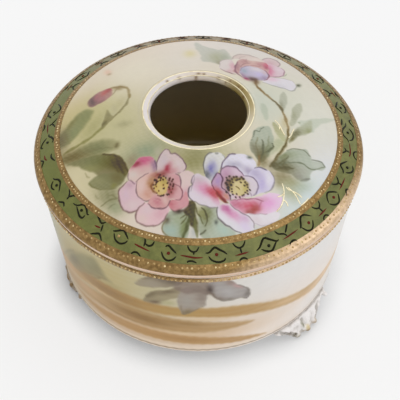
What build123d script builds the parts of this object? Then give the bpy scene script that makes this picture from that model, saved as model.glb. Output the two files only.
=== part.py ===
from build123d import *
import os
from math import sqrt

# Footed porcelain dressing-table jar with a lift-off lid that has a round hole in its crown.
# Millimetres. The floor is z = 0, the jar's axis is Z, and the front faces -Y.

# Driving dimensions of the bowl
foot_height = 7.0  # clear height under the bowl
rim_radius = 57.0  # outside of the wall at the rim
wall_flare = 4.8  # how much the rim stands out beyond the base
wall_height = 50.7  # base to rim
bowl_wall = 3.5
bowl_floor = 4.0
base_corner = 0.9  # rounding of the base's outer edge
rim_rounding = 0.8  # rounding of the rim's outer edge
rim_inner_rounding = 0.4
inside_corner = 6.0  # rounding between the wall and the floor inside

# Driving dimensions of the lid
lid_overhang = 0.75  # of the lid's widest line beyond the rim
lid_edge_rise = 1.8  # from the seat up to the widest line
lid_edge_tuck = 0.55  # from the widest line in to the flat that rests on the rim
shoulder_radius = 3.2  # rounding of the lid's shoulder
shoulder_slope = 27.0  # degrees, slope of the dome where the shoulder ends
lid_wall = 3.0
crown_rise = 18.25  # from the seat up to where the dome meets the lip of the hole
hole_radius = 16.5
lip_inside = 2.5  # from the narrowest line of the hole out to the lip's crest
lip_outside = 1.6  # from the crest out to the dome
lip_rise = 0.95  # crest above the dome
hole_drop = 1.9  # from the crest down to the narrowest line of the hole
nose_drop = 0.8  # from there down to the lid's underside
nose_undercut = 0.8  # how far the underside starts outside the hole

# Driving dimensions of the locating flange under the lid
flange_clearance = 1.0  # between the flange and the inside of the rim
flange_wall = 2.6
flange_depth = 5.0  # how far it reaches below the seat
flange_rounding = 0.6

# Driving dimensions of one moulded foot
foot_width = 28.0  # along the base
foot_depth = 6.4  # in from the base's edge, along the radius
foot_splay = 3.4  # how far the toes reach out beyond the base
foot_hollow = 0.5  # how far the face curves in between base and toes
foot_bow = 1.2  # how far the sides of the bracket curve in
foot_arc = 60.0  # degrees of the ring that one foot is cut from
sole_width = 12.5
sole_depth = 4.6  # of the sole, along the radius
toe_radius = 1.9
toe_spacing = 4.6
toe_count = 3
toe_height = 1.6  # centre of a toe above the floor
toe_sink = 0.9  # how far the face lies in front of the toes' centres
flute_radius = 0.8
flute_depth = 0.45
flute_count = 4
flute_spacing_low = 2.5  # between flutes at the toes
flute_spacing_high = 5.6  # between flutes under the base
left_foot_inset = 2.2  # the left foot was luted on this much nearer to the axis
foot_places = {  # degrees round the jar from +X, and how far in
    "foot_front_right": (-43.0, 0),
    "foot_left": (-162.0, left_foot_inset),
    "foot_back_right": (77.0, 0),
}

# Raised gilding and enamel
gilding = 0.25  # thickness of the raised gold bands
edge_gap = 0.3  # bare glaze between the lid's seat and the gold of its edge
edge_band = 1.95  # width of the gold on the lid's shoulder, along the radius
border_width = 5.6  # of the green border inside it
border_band = 2.0  # width of the gold band inside the border
rim_band_drop = 1.5  # from the rim down to the bowl's gold band
rim_band_height = 1.8
lip_band = 1.1  # width of the gold line on the lip
enamel = 0.2  # height of the enamel over the glaze
motif_count = 20
motif_start = 5.0  # degrees, bearing of the first lozenge from +X
lozenge_length = 4.4  # along the radius
lozenge_width = 5.0
lozenge_line = 0.6
jewel_radius = 0.55
fork_stem = 1.7  # along the radius, between the two pairs of arms
fork_line = 0.55
fork_arm = 1.5
fork_angle = 48.0  # degrees, each arm from the stem

# Heights and radii worked out from the driving dimensions
base_z = foot_height
rim_z = base_z + wall_height
inside_z = base_z + bowl_floor
seat_z = rim_z
edge_z = seat_z + lid_edge_rise
crown_z = seat_z + crown_rise
crest_z = crown_z + lip_rise
hole_z = crest_z - hole_drop
base_radius = rim_radius - wall_flare
lid_edge_radius = rim_radius + lid_overhang
lip_radius = hole_radius + lip_inside
flange_radius = rim_radius - bowl_wall - flange_clearance
border_outer_radius = lid_edge_radius - edge_band
border_inner_radius = border_outer_radius - border_width
motif_radius = (border_outer_radius + border_inner_radius) / 2

# The part's section planes hold the radius along X and the height along Y.
section = Plane.XZ


# Bowl: a straight wall that opens a little towards the rim, over a flat base.
with BuildSketch(section) as bowl_section:
    with BuildLine():
        Polyline(
            (0, base_z),
            (base_radius, base_z),
            (rim_radius, rim_z),
            (rim_radius - bowl_wall, rim_z),
            (base_radius - bowl_wall, inside_z),
            (0, inside_z),
            close=True,
        )
    make_face()
    under_floor, on_floor, at_rim = bowl_section.vertices().group_by(Axis.Y)
    outer_base = under_floor.sort_by(Axis.X)[-1]
    inner_base = on_floor.sort_by(Axis.X)[-1]
    inner_rim, outer_rim = at_rim.sort_by(Axis.X)
    fillet(outer_base, base_corner)
    fillet(inner_base, inside_corner)
    fillet(inner_rim, rim_inner_rounding)
    fillet(outer_rim, rim_rounding)

with BuildPart() as bowl:
    add(bowl_section.sketch)
    revolve(axis=Axis.Z)

# Lid: a rounded edge, a steep shoulder, a low dome and a raised lip round the hole.
with BuildSketch(section) as lid_section:
    with BuildLine():
        seat_edge = Vector(lid_edge_radius - lid_edge_tuck, seat_z)
        widest = Vector(lid_edge_radius, edge_z)
        crown = Vector(lip_radius + lip_outside, crown_z)
        crest = Vector(lip_radius, crest_z)
        hole_edge = Vector(hole_radius, hole_z)
        nose = Vector(hole_radius + nose_undercut, hole_z - nose_drop)
        inner_seat = Vector(rim_radius - bowl_wall, seat_z)
        TangentArc(widest, seat_edge, tangent=(0, -1))
        shoulder = JernArc(widest, (0, 1), shoulder_radius, 90 - shoulder_slope)
        dome = TangentArc(shoulder @ 1, crown, tangent=shoulder % 1)
        TangentArc(crest, crown, tangent=(1, 0))
        TangentArc(crest, hole_edge, tangent=(-1, 0))
        TangentArc(hole_edge, nose, tangent=(0, -1))
        under = dome @ 0.5 + (dome % 0.5).rotate(Axis.Z, 90) * lid_wall
        ThreePointArc(nose, under, inner_seat)
        Line(inner_seat, seat_edge)
    make_face()

with BuildPart() as lid:
    add(lid_section.sketch)
    revolve(axis=Axis.Z)


def dome_point(radius):
    """Height of the lid's dome, and its slope in degrees, at a distance from the axis."""
    centre = dome.arc_center
    height = sqrt(dome.radius**2 - (radius - centre.X) ** 2)
    return centre.Y + height, Vector(height, centre.X - radius).get_angle(Vector(1, 0))


# Locating flange: a ring luted under the lid, inside the bowl's rim.
with BuildPart() as lid_flange:
    with BuildSketch(section):
        with Locations((flange_radius, seat_z - flange_depth)):
            height = flange_depth + lid_edge_rise + shoulder_radius
            ring = Rectangle(flange_wall, height, align=(Align.MAX, Align.MIN))
        fillet(ring.vertices().group_by(Axis.Y)[0], flange_rounding)
    revolve(axis=Axis.Z)
    add(lid.part, mode=Mode.SUBTRACT)

# Feet: moulded brackets with a fluted face and scrolled toes, luted under the base. One is made
# on the +X side and copied to its three places.
foot_top_radius = base_radius - base_corner
toe_circle = base_radius + foot_splay - toe_radius
sole_radius = toe_circle + toe_sink
flute_lift = flute_radius - flute_depth

with BuildPart() as foot:
    with BuildSketch(section.rotated((0, 0, -foot_arc / 2))):
        with BuildLine():
            top = Vector(foot_top_radius, base_z)
            sole = Vector(sole_radius, 0)
            ThreePointArc(top, (top + sole) * 0.5 - Vector(foot_hollow, 0), sole)
            Polyline(sole, sole - Vector(sole_depth, 0), top - Vector(foot_depth, 0), top)
        make_face()
    revolve(axis=Axis.Z, revolution_arc=foot_arc)
    with BuildSketch(Plane.YZ):
        with BuildLine():
            shoulder_end = Vector(foot_width / 2, base_z)
            sole_end = Vector(sole_width / 2, 0)
            ThreePointArc(shoulder_end, (shoulder_end + sole_end) * 0.5 + foot_bow * Vector(-1, 1), sole_end)
            Polyline(sole_end, (0, 0), (0, base_z), shoulder_end)
        make_face()
        mirror(about=Plane.YZ)
    extrude(amount=2 * base_radius, mode=Mode.INTERSECT)
    with Locations((toe_circle, 0, toe_height)):
        with GridLocations(0, toe_spacing, 1, toe_count):
            Sphere(toe_radius)
    for step in range(flute_count):
        place = step - (flute_count - 1) / 2
        across_low = place * flute_spacing_low
        across_high = place * flute_spacing_high
        low = Vector(sqrt(sole_radius**2 - across_low**2) + flute_lift, across_low, 0)
        high = Vector(sqrt(foot_top_radius**2 - across_high**2) + flute_lift, across_high, base_z)
        with Locations(Plane(origin=low, z_dir=high - low)):
            Cylinder(flute_radius, 2 * (high - low).length, mode=Mode.SUBTRACT)
    split(bisect_by=Plane.XY, keep=Keep.TOP)

feet = []
for name, (bearing, inset) in foot_places.items():
    with BuildPart() as placed_foot:
        with Locations(Location(Vector(-inset, 0, 0).rotate(Axis.Z, bearing), (0, 0, bearing))):
            add(foot.part)
    placed_foot.part.label = name
    feet.append(placed_foot.part)

# Raised gilding: each band is a slice of a skin over the glaze, cut from the section's outline.


def gold_band(body_section, lowest, highest, nearest, farthest):
    """Ring of raised gold on a turned body, between two heights and two distances from the axis."""
    with BuildPart() as band:
        with BuildSketch(section):
            add(body_section.sketch_local)
            offset(amount=gilding)
            add(body_section.sketch_local, mode=Mode.SUBTRACT)
            with Locations((nearest, lowest)):
                Rectangle(farthest - nearest, highest - lowest, align=Align.MIN, mode=Mode.INTERSECT)
        revolve(axis=Axis.Z)
    return band


above_lid = crest_z + lid_wall
outside = lid_edge_radius + lid_wall
rim_band_top = rim_z - rim_band_drop
border_z, _ = dome_point(border_outer_radius)
rim_gilding = gold_band(
    bowl_section, rim_band_top - rim_band_height, rim_band_top, rim_radius - bowl_wall / 2, outside
)
lid_edge_gilding = gold_band(lid_section, seat_z + edge_gap, above_lid, border_outer_radius, outside)
border_gilding = gold_band(
    lid_section, border_z, above_lid, border_inner_radius - border_band, border_inner_radius
)
lip_gilding = gold_band(
    lid_section, crest_z - lip_band, above_lid, lip_radius - lip_band / 2, lip_radius + lip_band / 2
)


# Enamel border: lozenges with a jewel in the middle, and forks between them.
def on_border(radius, bearing):
    """Plane that touches the dome at a distance from the axis, with X down the slope."""
    height, slope = dome_point(radius)
    origin = Vector(radius, 0, height).rotate(Axis.Z, bearing)
    downhill = Vector(1, 0, 0).rotate(Axis.Y, slope).rotate(Axis.Z, bearing)
    upright = Vector(0, 0, 1).rotate(Axis.Y, slope).rotate(Axis.Z, bearing)
    return Plane(origin=origin, x_dir=downhill, z_dir=upright)


motif_step = 360 / motif_count
lozenge_bearings = [motif_start + motif_step * i for i in range(motif_count)]
lozenge_planes = [on_border(motif_radius, bearing) for bearing in lozenge_bearings]
fork_planes = [on_border(motif_radius, bearing + motif_step / 2) for bearing in lozenge_bearings]

with BuildPart() as border_lozenges:
    with BuildSketch(*lozenge_planes):
        half_length = lozenge_length / 2
        half_width = lozenge_width / 2
        Polygon((half_length, 0), (0, half_width), (-half_length, 0), (0, -half_width), align=None)
        offset(amount=-lozenge_line, kind=Kind.INTERSECTION, mode=Mode.SUBTRACT)
    extrude(amount=enamel, both=True)
    add(lid.part, mode=Mode.SUBTRACT)

with BuildPart() as border_jewels:
    with Locations(*lozenge_planes):
        Sphere(jewel_radius)
    add(lid.part, mode=Mode.SUBTRACT)

with BuildPart() as border_forks:
    with BuildSketch(*fork_planes):
        SlotCenterToCenter(fork_stem, fork_line)
        with Locations(Location((fork_stem / 2, 0, 0)), Location((-fork_stem / 2, 0, 0), (0, 0, 180))):
            for side in (-1, 1):
                tip = Vector(fork_arm, 0).rotate(Axis.Z, side * fork_angle)
                SlotCenterPoint(tip * 0.5, tip, fork_line)
    extrude(amount=enamel, both=True)
    add(lid.part, mode=Mode.SUBTRACT)

# Labels and files
pieces = {
    "bowl": bowl.part,
    "rim_gilding": rim_gilding.part,
    "lid": lid.part,
    "lid_flange": lid_flange.part,
    "lid_edge_gilding": lid_edge_gilding.part,
    "border_gilding": border_gilding.part,
    "lip_gilding": lip_gilding.part,
    "border_lozenges": border_lozenges.part,
    "border_jewels": border_jewels.part,
    "border_forks": border_forks.part,
}
pieces.update({piece.label: piece for piece in feet})

os.makedirs("parts", exist_ok=True)
for name, piece in pieces.items():
    piece.label = name
    export_step(piece, f"parts/{name}.step")
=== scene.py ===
import math

import bmesh
import bpy
import mathutils
import numpy as np
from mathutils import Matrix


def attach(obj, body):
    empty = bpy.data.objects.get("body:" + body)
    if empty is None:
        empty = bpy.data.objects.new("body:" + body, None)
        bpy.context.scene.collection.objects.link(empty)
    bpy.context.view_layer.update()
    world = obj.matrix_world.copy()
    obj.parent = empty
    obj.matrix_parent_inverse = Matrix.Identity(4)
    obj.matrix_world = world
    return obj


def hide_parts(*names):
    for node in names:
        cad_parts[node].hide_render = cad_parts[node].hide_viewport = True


# Hair receiver: a footed porcelain jar with a lift-off lid that has a round hole in its crown.
# The jar's axis is Z, its front faces -Y, and the table is z = 0. Sizes are in millimetres.
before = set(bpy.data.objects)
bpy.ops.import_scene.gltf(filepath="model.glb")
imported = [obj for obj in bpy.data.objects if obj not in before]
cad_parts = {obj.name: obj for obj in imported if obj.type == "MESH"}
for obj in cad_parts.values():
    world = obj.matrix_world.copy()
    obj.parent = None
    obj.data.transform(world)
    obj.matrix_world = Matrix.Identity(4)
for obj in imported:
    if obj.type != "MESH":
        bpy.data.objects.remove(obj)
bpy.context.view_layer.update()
MM = 0.001
scene = bpy.context.scene
scene.view_settings.view_transform = "Standard"

# Camera: a long lens 400 mm from the middle of the jar, in front of it and looking down on it at
# 49 degrees, so the wall below the rim and all of the lid are in view.
aim_height = 29.7
camera_side = 0.5
camera_distance = 263.4
camera_height = 330.7
camera = bpy.data.objects.new("camera", bpy.data.cameras.new("camera"))
scene.collection.objects.link(camera)
camera.location = (camera_side * MM, -camera_distance * MM, camera_height * MM)
camera.rotation_euler = (math.atan2(camera_distance, camera_height - aim_height), 0, 0)
camera.data.sensor_width = 36
camera.data.lens = 96.12
camera.data.clip_start = 0.01
scene.camera = camera

# Lamp and room: one wide soft light high up at the right, and an even pale room round it, which
# glaze and gold see as nearly white.
lamp = bpy.data.objects.new("window_light", bpy.data.lights.new("window_light", "SUN"))
scene.collection.objects.link(lamp)
lamp.data.energy = 0.6
lamp.data.angle = math.radians(70)
lamp.rotation_euler = (math.radians(12), math.radians(32), 0)


def add_node(nodes, kind, inputs=(), **settings):
    """Adds a node with its settings. An input is a value, or the socket that it is linked to."""
    node = nodes.new(kind)
    for name, value in settings.items():
        setattr(node, name, value)
    for name, value in dict(inputs).items():
        if isinstance(value, bpy.types.NodeSocket):
            nodes.id_data.links.new(value, node.inputs[name])
        else:
            node.inputs[name].default_value = value
    return node


room_light = 0.84
room_seen = 0.92
world = bpy.data.worlds.new("room")
scene.world = world
world.use_nodes = True
nodes = world.node_tree.nodes
nodes.clear()
ray = add_node(nodes, "ShaderNodeLightPath")
seen = add_node(
    nodes,
    "ShaderNodeMath",
    {0: ray.outputs["Is Camera Ray"], 1: ray.outputs["Is Glossy Ray"]},
    operation="MAXIMUM",
)
level = add_node(
    nodes,
    "ShaderNodeMapRange",
    {"Value": seen.outputs[0], "To Min": room_light, "To Max": room_seen},
)
glow = add_node(nodes, "ShaderNodeBackground", {"Color": (1, 1, 1, 1), "Strength": level.outputs[0]})
add_node(nodes, "ShaderNodeOutputWorld", {"Surface": glow.outputs[0]})


# Table: a sheet of matt white card, wide enough to fill the view, with a faint mottling of fibre.
# The jar stands on it, and its soft shadow lies close round the feet and the wall.
def tint(code):
    """sRGB values, 0 to 1, of a hex colour."""
    return np.array([int(code[i : i + 2], 16) / 255 for i in (1, 3, 5)])


def linear(colour):
    """Linear RGB of an sRGB colour, given as a hex code or as values from 0 to 1."""
    colour = tint(colour) if isinstance(colour, str) else np.asarray(colour, float)
    return np.where(colour <= 0.04045, colour / 12.92, ((colour + 0.055) / 1.055) ** 2.4)


def new_material(name):
    """A material with no nodes yet, and its node list."""
    material = bpy.data.materials.new(name)
    material.use_nodes = True
    material.node_tree.nodes.clear()
    return material, material.node_tree.nodes


table_size = 6000
card_white = "#f7f7f7"
fibre_scale = 900
shadow_reach = 11
even_share = 0.72
bpy.ops.object.select_all(action="DESELECT")
bpy.ops.mesh.primitive_plane_add(size=table_size * MM)
table = bpy.context.object
table.name = table.data.name = "table"
# Matt white card: pressed paper fibre, with next to no gloss
card, nodes = new_material("matt_white_card")
coords = add_node(nodes, "ShaderNodeTexCoord")
fibre = add_node(
    nodes,
    "ShaderNodeTexNoise",
    {"Vector": coords.outputs["Object"], "Scale": fibre_scale, "Detail": 2},
)
white = add_node(
    nodes,
    "ShaderNodeMix",
    {0: fibre.outputs["Fac"], 6: (*linear(card_white), 1), 7: (*linear("#f9f9f9"), 1)},
    data_type="RGBA",
)
surface = add_node(
    nodes,
    "ShaderNodeBsdfPrincipled",
    {"Base Color": white.outputs[2], "Roughness": 0.9, "Specular IOR Level": 0.1},
)
# Seen directly, most of the card is an even pale grey that only dims close beside the jar. The
# lamp stands at the right, so this shade is deepest at the jar's left
shade = add_node(nodes, "ShaderNodeAmbientOcclusion", {"Distance": shadow_reach * MM}, samples=12)
side = add_node(nodes, "ShaderNodeSeparateXYZ", {0: coords.outputs["Object"]})
deepest = add_node(
    nodes,
    "ShaderNodeMapRange",
    {"Value": side.outputs["X"], "From Min": -60 * MM, "From Max": 50 * MM, "To Min": 0.18, "To Max": 0.58},
)
near = add_node(
    nodes,
    "ShaderNodeMapRange",
    {
        "Value": shade.outputs["AO"],
        "From Min": 0.4,
        "From Max": 0.95,
        "To Min": deepest.outputs[0],
        "To Max": 1,
    },
)
even = add_node(
    nodes, "ShaderNodeEmission", {"Color": (*linear(card_white), 1), "Strength": near.outputs[0]}
)
ray = add_node(nodes, "ShaderNodeLightPath")
share = add_node(
    nodes, "ShaderNodeMath", {0: ray.outputs["Is Camera Ray"], 1: even_share}, operation="MULTIPLY"
)
card_seen = add_node(
    nodes,
    "ShaderNodeMixShader",
    {0: share.outputs[0], 1: surface.outputs[0], 2: even.outputs[0]},
)
add_node(nodes, "ShaderNodeOutputMaterial", {"Surface": card_seen.outputs[0]})
table.data.materials.append(card)


# Bowl: slip-cast porcelain, a straight wall that opens a little to the rim over a flat base.
# Airbrushed and brushed colours under a clear glaze outside; a khaki inside, partly painted shade.
def rounded(corners, steps=6):
    """Outline through corners given as (radius, height, rounding), with the rounded ones as arcs."""
    outline = []
    for i, (x, y, rounding) in enumerate(corners):
        corner = np.array([x, y])
        if rounding == 0:
            outline.append(corner)
            continue
        before = np.array(corners[i - 1][:2]) - corner
        after = np.array(corners[i + 1][:2]) - corner
        before = before / np.hypot(*before)
        after = after / np.hypot(*after)
        half = math.acos(before @ after) / 2
        inward = (before + after) / np.hypot(*(before + after))
        middle = corner + inward * rounding / math.sin(half)
        first = corner + before * rounding / math.tan(half) - middle
        last = corner + after * rounding / math.tan(half) - middle
        sweep = math.pi - 2 * half
        for t in np.linspace(0, sweep, steps + 1):
            outline.append(middle + (first * math.sin(sweep - t) + last * math.sin(t)) / math.sin(sweep))
    return np.array(outline)


def turned(name, outline, steps, start=0, sweep=360):
    """Turned piece: edges laid along a section, swept round the jar's axis and merged at the seam."""
    bpy.ops.object.select_all(action="DESELECT")
    bpy.ops.mesh.primitive_circle_add(vertices=len(outline), fill_type="NOTHING")
    piece = bpy.context.object
    piece.name = piece.data.name = name
    side = math.radians(start)
    for vertex, (radius, height) in zip(piece.data.vertices, outline):
        vertex.co = (radius * math.cos(side) * MM, radius * math.sin(side) * MM, height * MM)
    screw = piece.modifiers.new("sweep", "SCREW")
    screw.angle = math.radians(sweep)
    screw.steps = screw.render_steps = steps
    screw.use_merge_vertices = True
    bpy.ops.object.modifier_apply(modifier="sweep")
    bpy.ops.object.mode_set(mode="EDIT")
    bpy.ops.mesh.select_all(action="SELECT")
    bpy.ops.mesh.remove_doubles(threshold=0.002 * MM)
    bpy.ops.mesh.delete_loose(use_verts=True, use_edges=True, use_faces=False)
    bpy.ops.mesh.select_all(action="SELECT")
    bpy.ops.mesh.fill_holes(sides=0)
    bpy.ops.mesh.normals_make_consistent(inside=False)
    bpy.ops.object.mode_set(mode="OBJECT")
    bpy.ops.object.shade_smooth_by_angle(angle=math.radians(40))
    return piece


def places(piece):
    """Where a piece's vertices are, in millimetres."""
    found = np.empty(len(piece.data.vertices) * 3)
    piece.data.vertices.foreach_get("co", found)
    return found.reshape(-1, 3) / MM


glaze_sheen = 0.03  # linear white that the glaze reflects in front of the paint
darkest_paint = 0.004


def lay_paint(piece, colours):
    """Keeps a colour for each vertex, less the white that the glaze's sheen adds in front of it."""
    layer = piece.data.color_attributes.new("paint", "FLOAT_COLOR", "POINT")
    values = np.ones((len(colours), 4))
    values[:, :3] = np.maximum(linear(np.clip(colours, 0, 1)) - glaze_sheen, darkest_paint)
    layer.data.foreach_set("color", values.ravel())


base_height = 6.6
base_radius = 52.16
rim_height = 57.7
rim_radius = 57
inside_rim = 53.5
floor_height = 11
# Points up the outside of the wall, closest together where a thin line is painted round its foot
wall_foot = np.linspace((52.19, 7.5), (52.26, 8.5), 5)
wall = np.linspace((52.27, 8.7), (56.92, 56.9), 92)
base_edge = rounded([(0, base_height, 0), (base_radius, base_height, 0.7), (rim_radius, rim_height, 0)])
rim_and_inside = rounded(
    [
        (52.2, 7, 0),
        (rim_radius, rim_height, 0.8),
        (inside_rim, rim_height, 0.4),
        (48.7, floor_height, 6),
        (0, floor_height, 0),
    ]
)
bowl_outline = np.vstack([[(0, base_height)], base_edge[1:-1], wall_foot, wall, rim_and_inside[1:]])
bowl = turned("bowl_body", bowl_outline, 720)


def smooth_path(marks, closed=False, steps=6):
    """Points on a smooth line through the marks of an outline or a stroke, written as 'x,y x,y'."""
    marks = np.array([[float(v) for v in mark.split(",")] for mark in marks.split()])
    ends = [marks[-1:], marks, marks[:2]] if closed else [marks[:1], marks, marks[-1:]]
    p = np.vstack(ends)
    t = (np.arange(steps) / steps)[:, None]
    path = []
    for a, b, c, d in zip(p, p[1:], p[2:], p[3:]):
        path.append(b + 0.5 * t * (c - a + t * (2 * a - 5 * b + 4 * c - d + t * (3 * b - 3 * c + d - a))))
    return np.vstack(path if closed else path + [marks[-1:]])


class Painting:
    """Colours laid on the points of a glazed surface, whose places are in millimetres."""

    def __init__(self, across, along, ground):
        x, y = np.array(across), np.array(along)
        # A hand that is never quite steady, and a brush that covers unevenly
        unsteady_x = np.sin(1.5 * y + 0.6 * x) + 0.5 * np.sin(2.9 * x - 1.7 * y + 1)
        unsteady_y = np.sin(1.7 * x - 0.8 * y + 2) + 0.5 * np.sin(2.6 * y + 1.9 * x)
        self.place = np.stack([x + 0.1 * unsteady_x, y + 0.1 * unsteady_y], 1)
        streaks = np.sin(3.1 * x + 2.2 * y + 2 * np.sin(0.9 * y))
        streaks += np.sin(5.3 * y - 1.9 * x + 3 * np.sin(0.7 * x))
        self.brush = 0.94 + 0.06 * streaks
        self.colour = np.empty((len(across), 3))
        self.colour[:] = tint(ground)

    def lay(self, rows, cover, colour):
        """Covers each point by its share with a colour, as unevenly as the brush does."""
        cover = np.clip(cover * self.brush[rows], 0, 1)
        self.colour[rows] += cover[:, None] * (tint(colour) - self.colour[rows])

    def rows_near(self, path, reach):
        """Which points lie within reach of the box round a path."""
        low = path.min(0) - reach
        high = path.max(0) + reach
        return np.nonzero(((self.place > low) & (self.place < high)).all(1))[0]

    def distances(self, rows, path):
        """Distance of each point to a path, and how far along the path its nearest place is."""
        near = np.full(len(rows), np.inf)
        along = np.zeros(len(rows))
        for i, (a, b) in enumerate(zip(path, path[1:])):
            reach = self.place[rows] - a
            run = b - a
            t = np.clip(reach @ run / max(run @ run, 1e-9), 0, 1)
            away = np.hypot(*(reach - t[:, None] * run).T)
            closer = away < near
            near[closer] = away[closer]
            along[closer] = (i + t[closer]) / (len(path) - 1)
        return near, along

    def wash(self, x, y, size, colour, strength=1.0, stretch=1.0, turn=0.0, within=None):
        """Airbrushed patch that fades out from its middle, longer by stretch along its turn."""
        rows, cover = within or (slice(None), 1.0)
        angle = math.radians(turn)
        axes = np.array([[math.cos(angle), -math.sin(angle)], [math.sin(angle), math.cos(angle)]])
        off = (self.place[rows] - (x, y)) @ axes / (size * np.array([stretch, 1]))
        self.lay(rows, strength * cover * np.exp(-(off**2).sum(1)), colour)

    def shape(self, outline, colour, strength=1.0, soft=0.35):
        """Filled shape with a soft edge. It gives back where it lies, for washes within it."""
        path = smooth_path(outline, closed=True)
        path = np.vstack([path, path[:1]])
        rows = self.rows_near(path, soft)
        away, _ = self.distances(rows, path)
        x, y = self.place[rows].T
        inside = np.zeros(len(rows), bool)
        for (ax, ay), (bx, by) in zip(path, path[1:]):
            if ay != by:
                inside ^= ((ay > y) != (by > y)) & (x < (bx - ax) * (y - ay) / (by - ay) + ax)
        cover = np.clip(0.5 + np.where(inside, away, -away) / soft, 0, 1)
        cover = cover * cover * (3 - 2 * cover)
        self.lay(rows, strength * cover, colour)
        return rows, cover

    def line(self, path, colour, width=0.45, strength=1.0, soft=0.3, ends=0.35):
        """Brush line that thins out to a share of its width at both ends."""
        path = smooth_path(path)
        rows = self.rows_near(path, width + soft)
        away, along = self.distances(rows, path)
        length = np.hypot(*np.diff(path, axis=0).T).sum()
        press = 0.92 + 0.14 * np.sin(1.1 * length * along + 7 * path[0, 0])
        half = width / 2 * press * (ends + (1 - ends) * np.sin(math.pi * np.clip(along, 0, 1)) ** 0.5)
        self.lay(rows, strength * np.clip(0.5 + (half - away) / soft, 0, 1), colour)

    def dots(self, places, colour, size=0.35, strength=1.0):
        """Small round touches of the brush."""
        for x, y in smooth_path(places, steps=1):
            rows = self.rows_near(np.array([[x, y]]), 3 * size)
            off = np.hypot(*(self.place[rows] - (x, y)).T)
            self.lay(rows, strength * np.clip(1.2 - (off / size) ** 2, 0, 1), colour)


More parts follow.
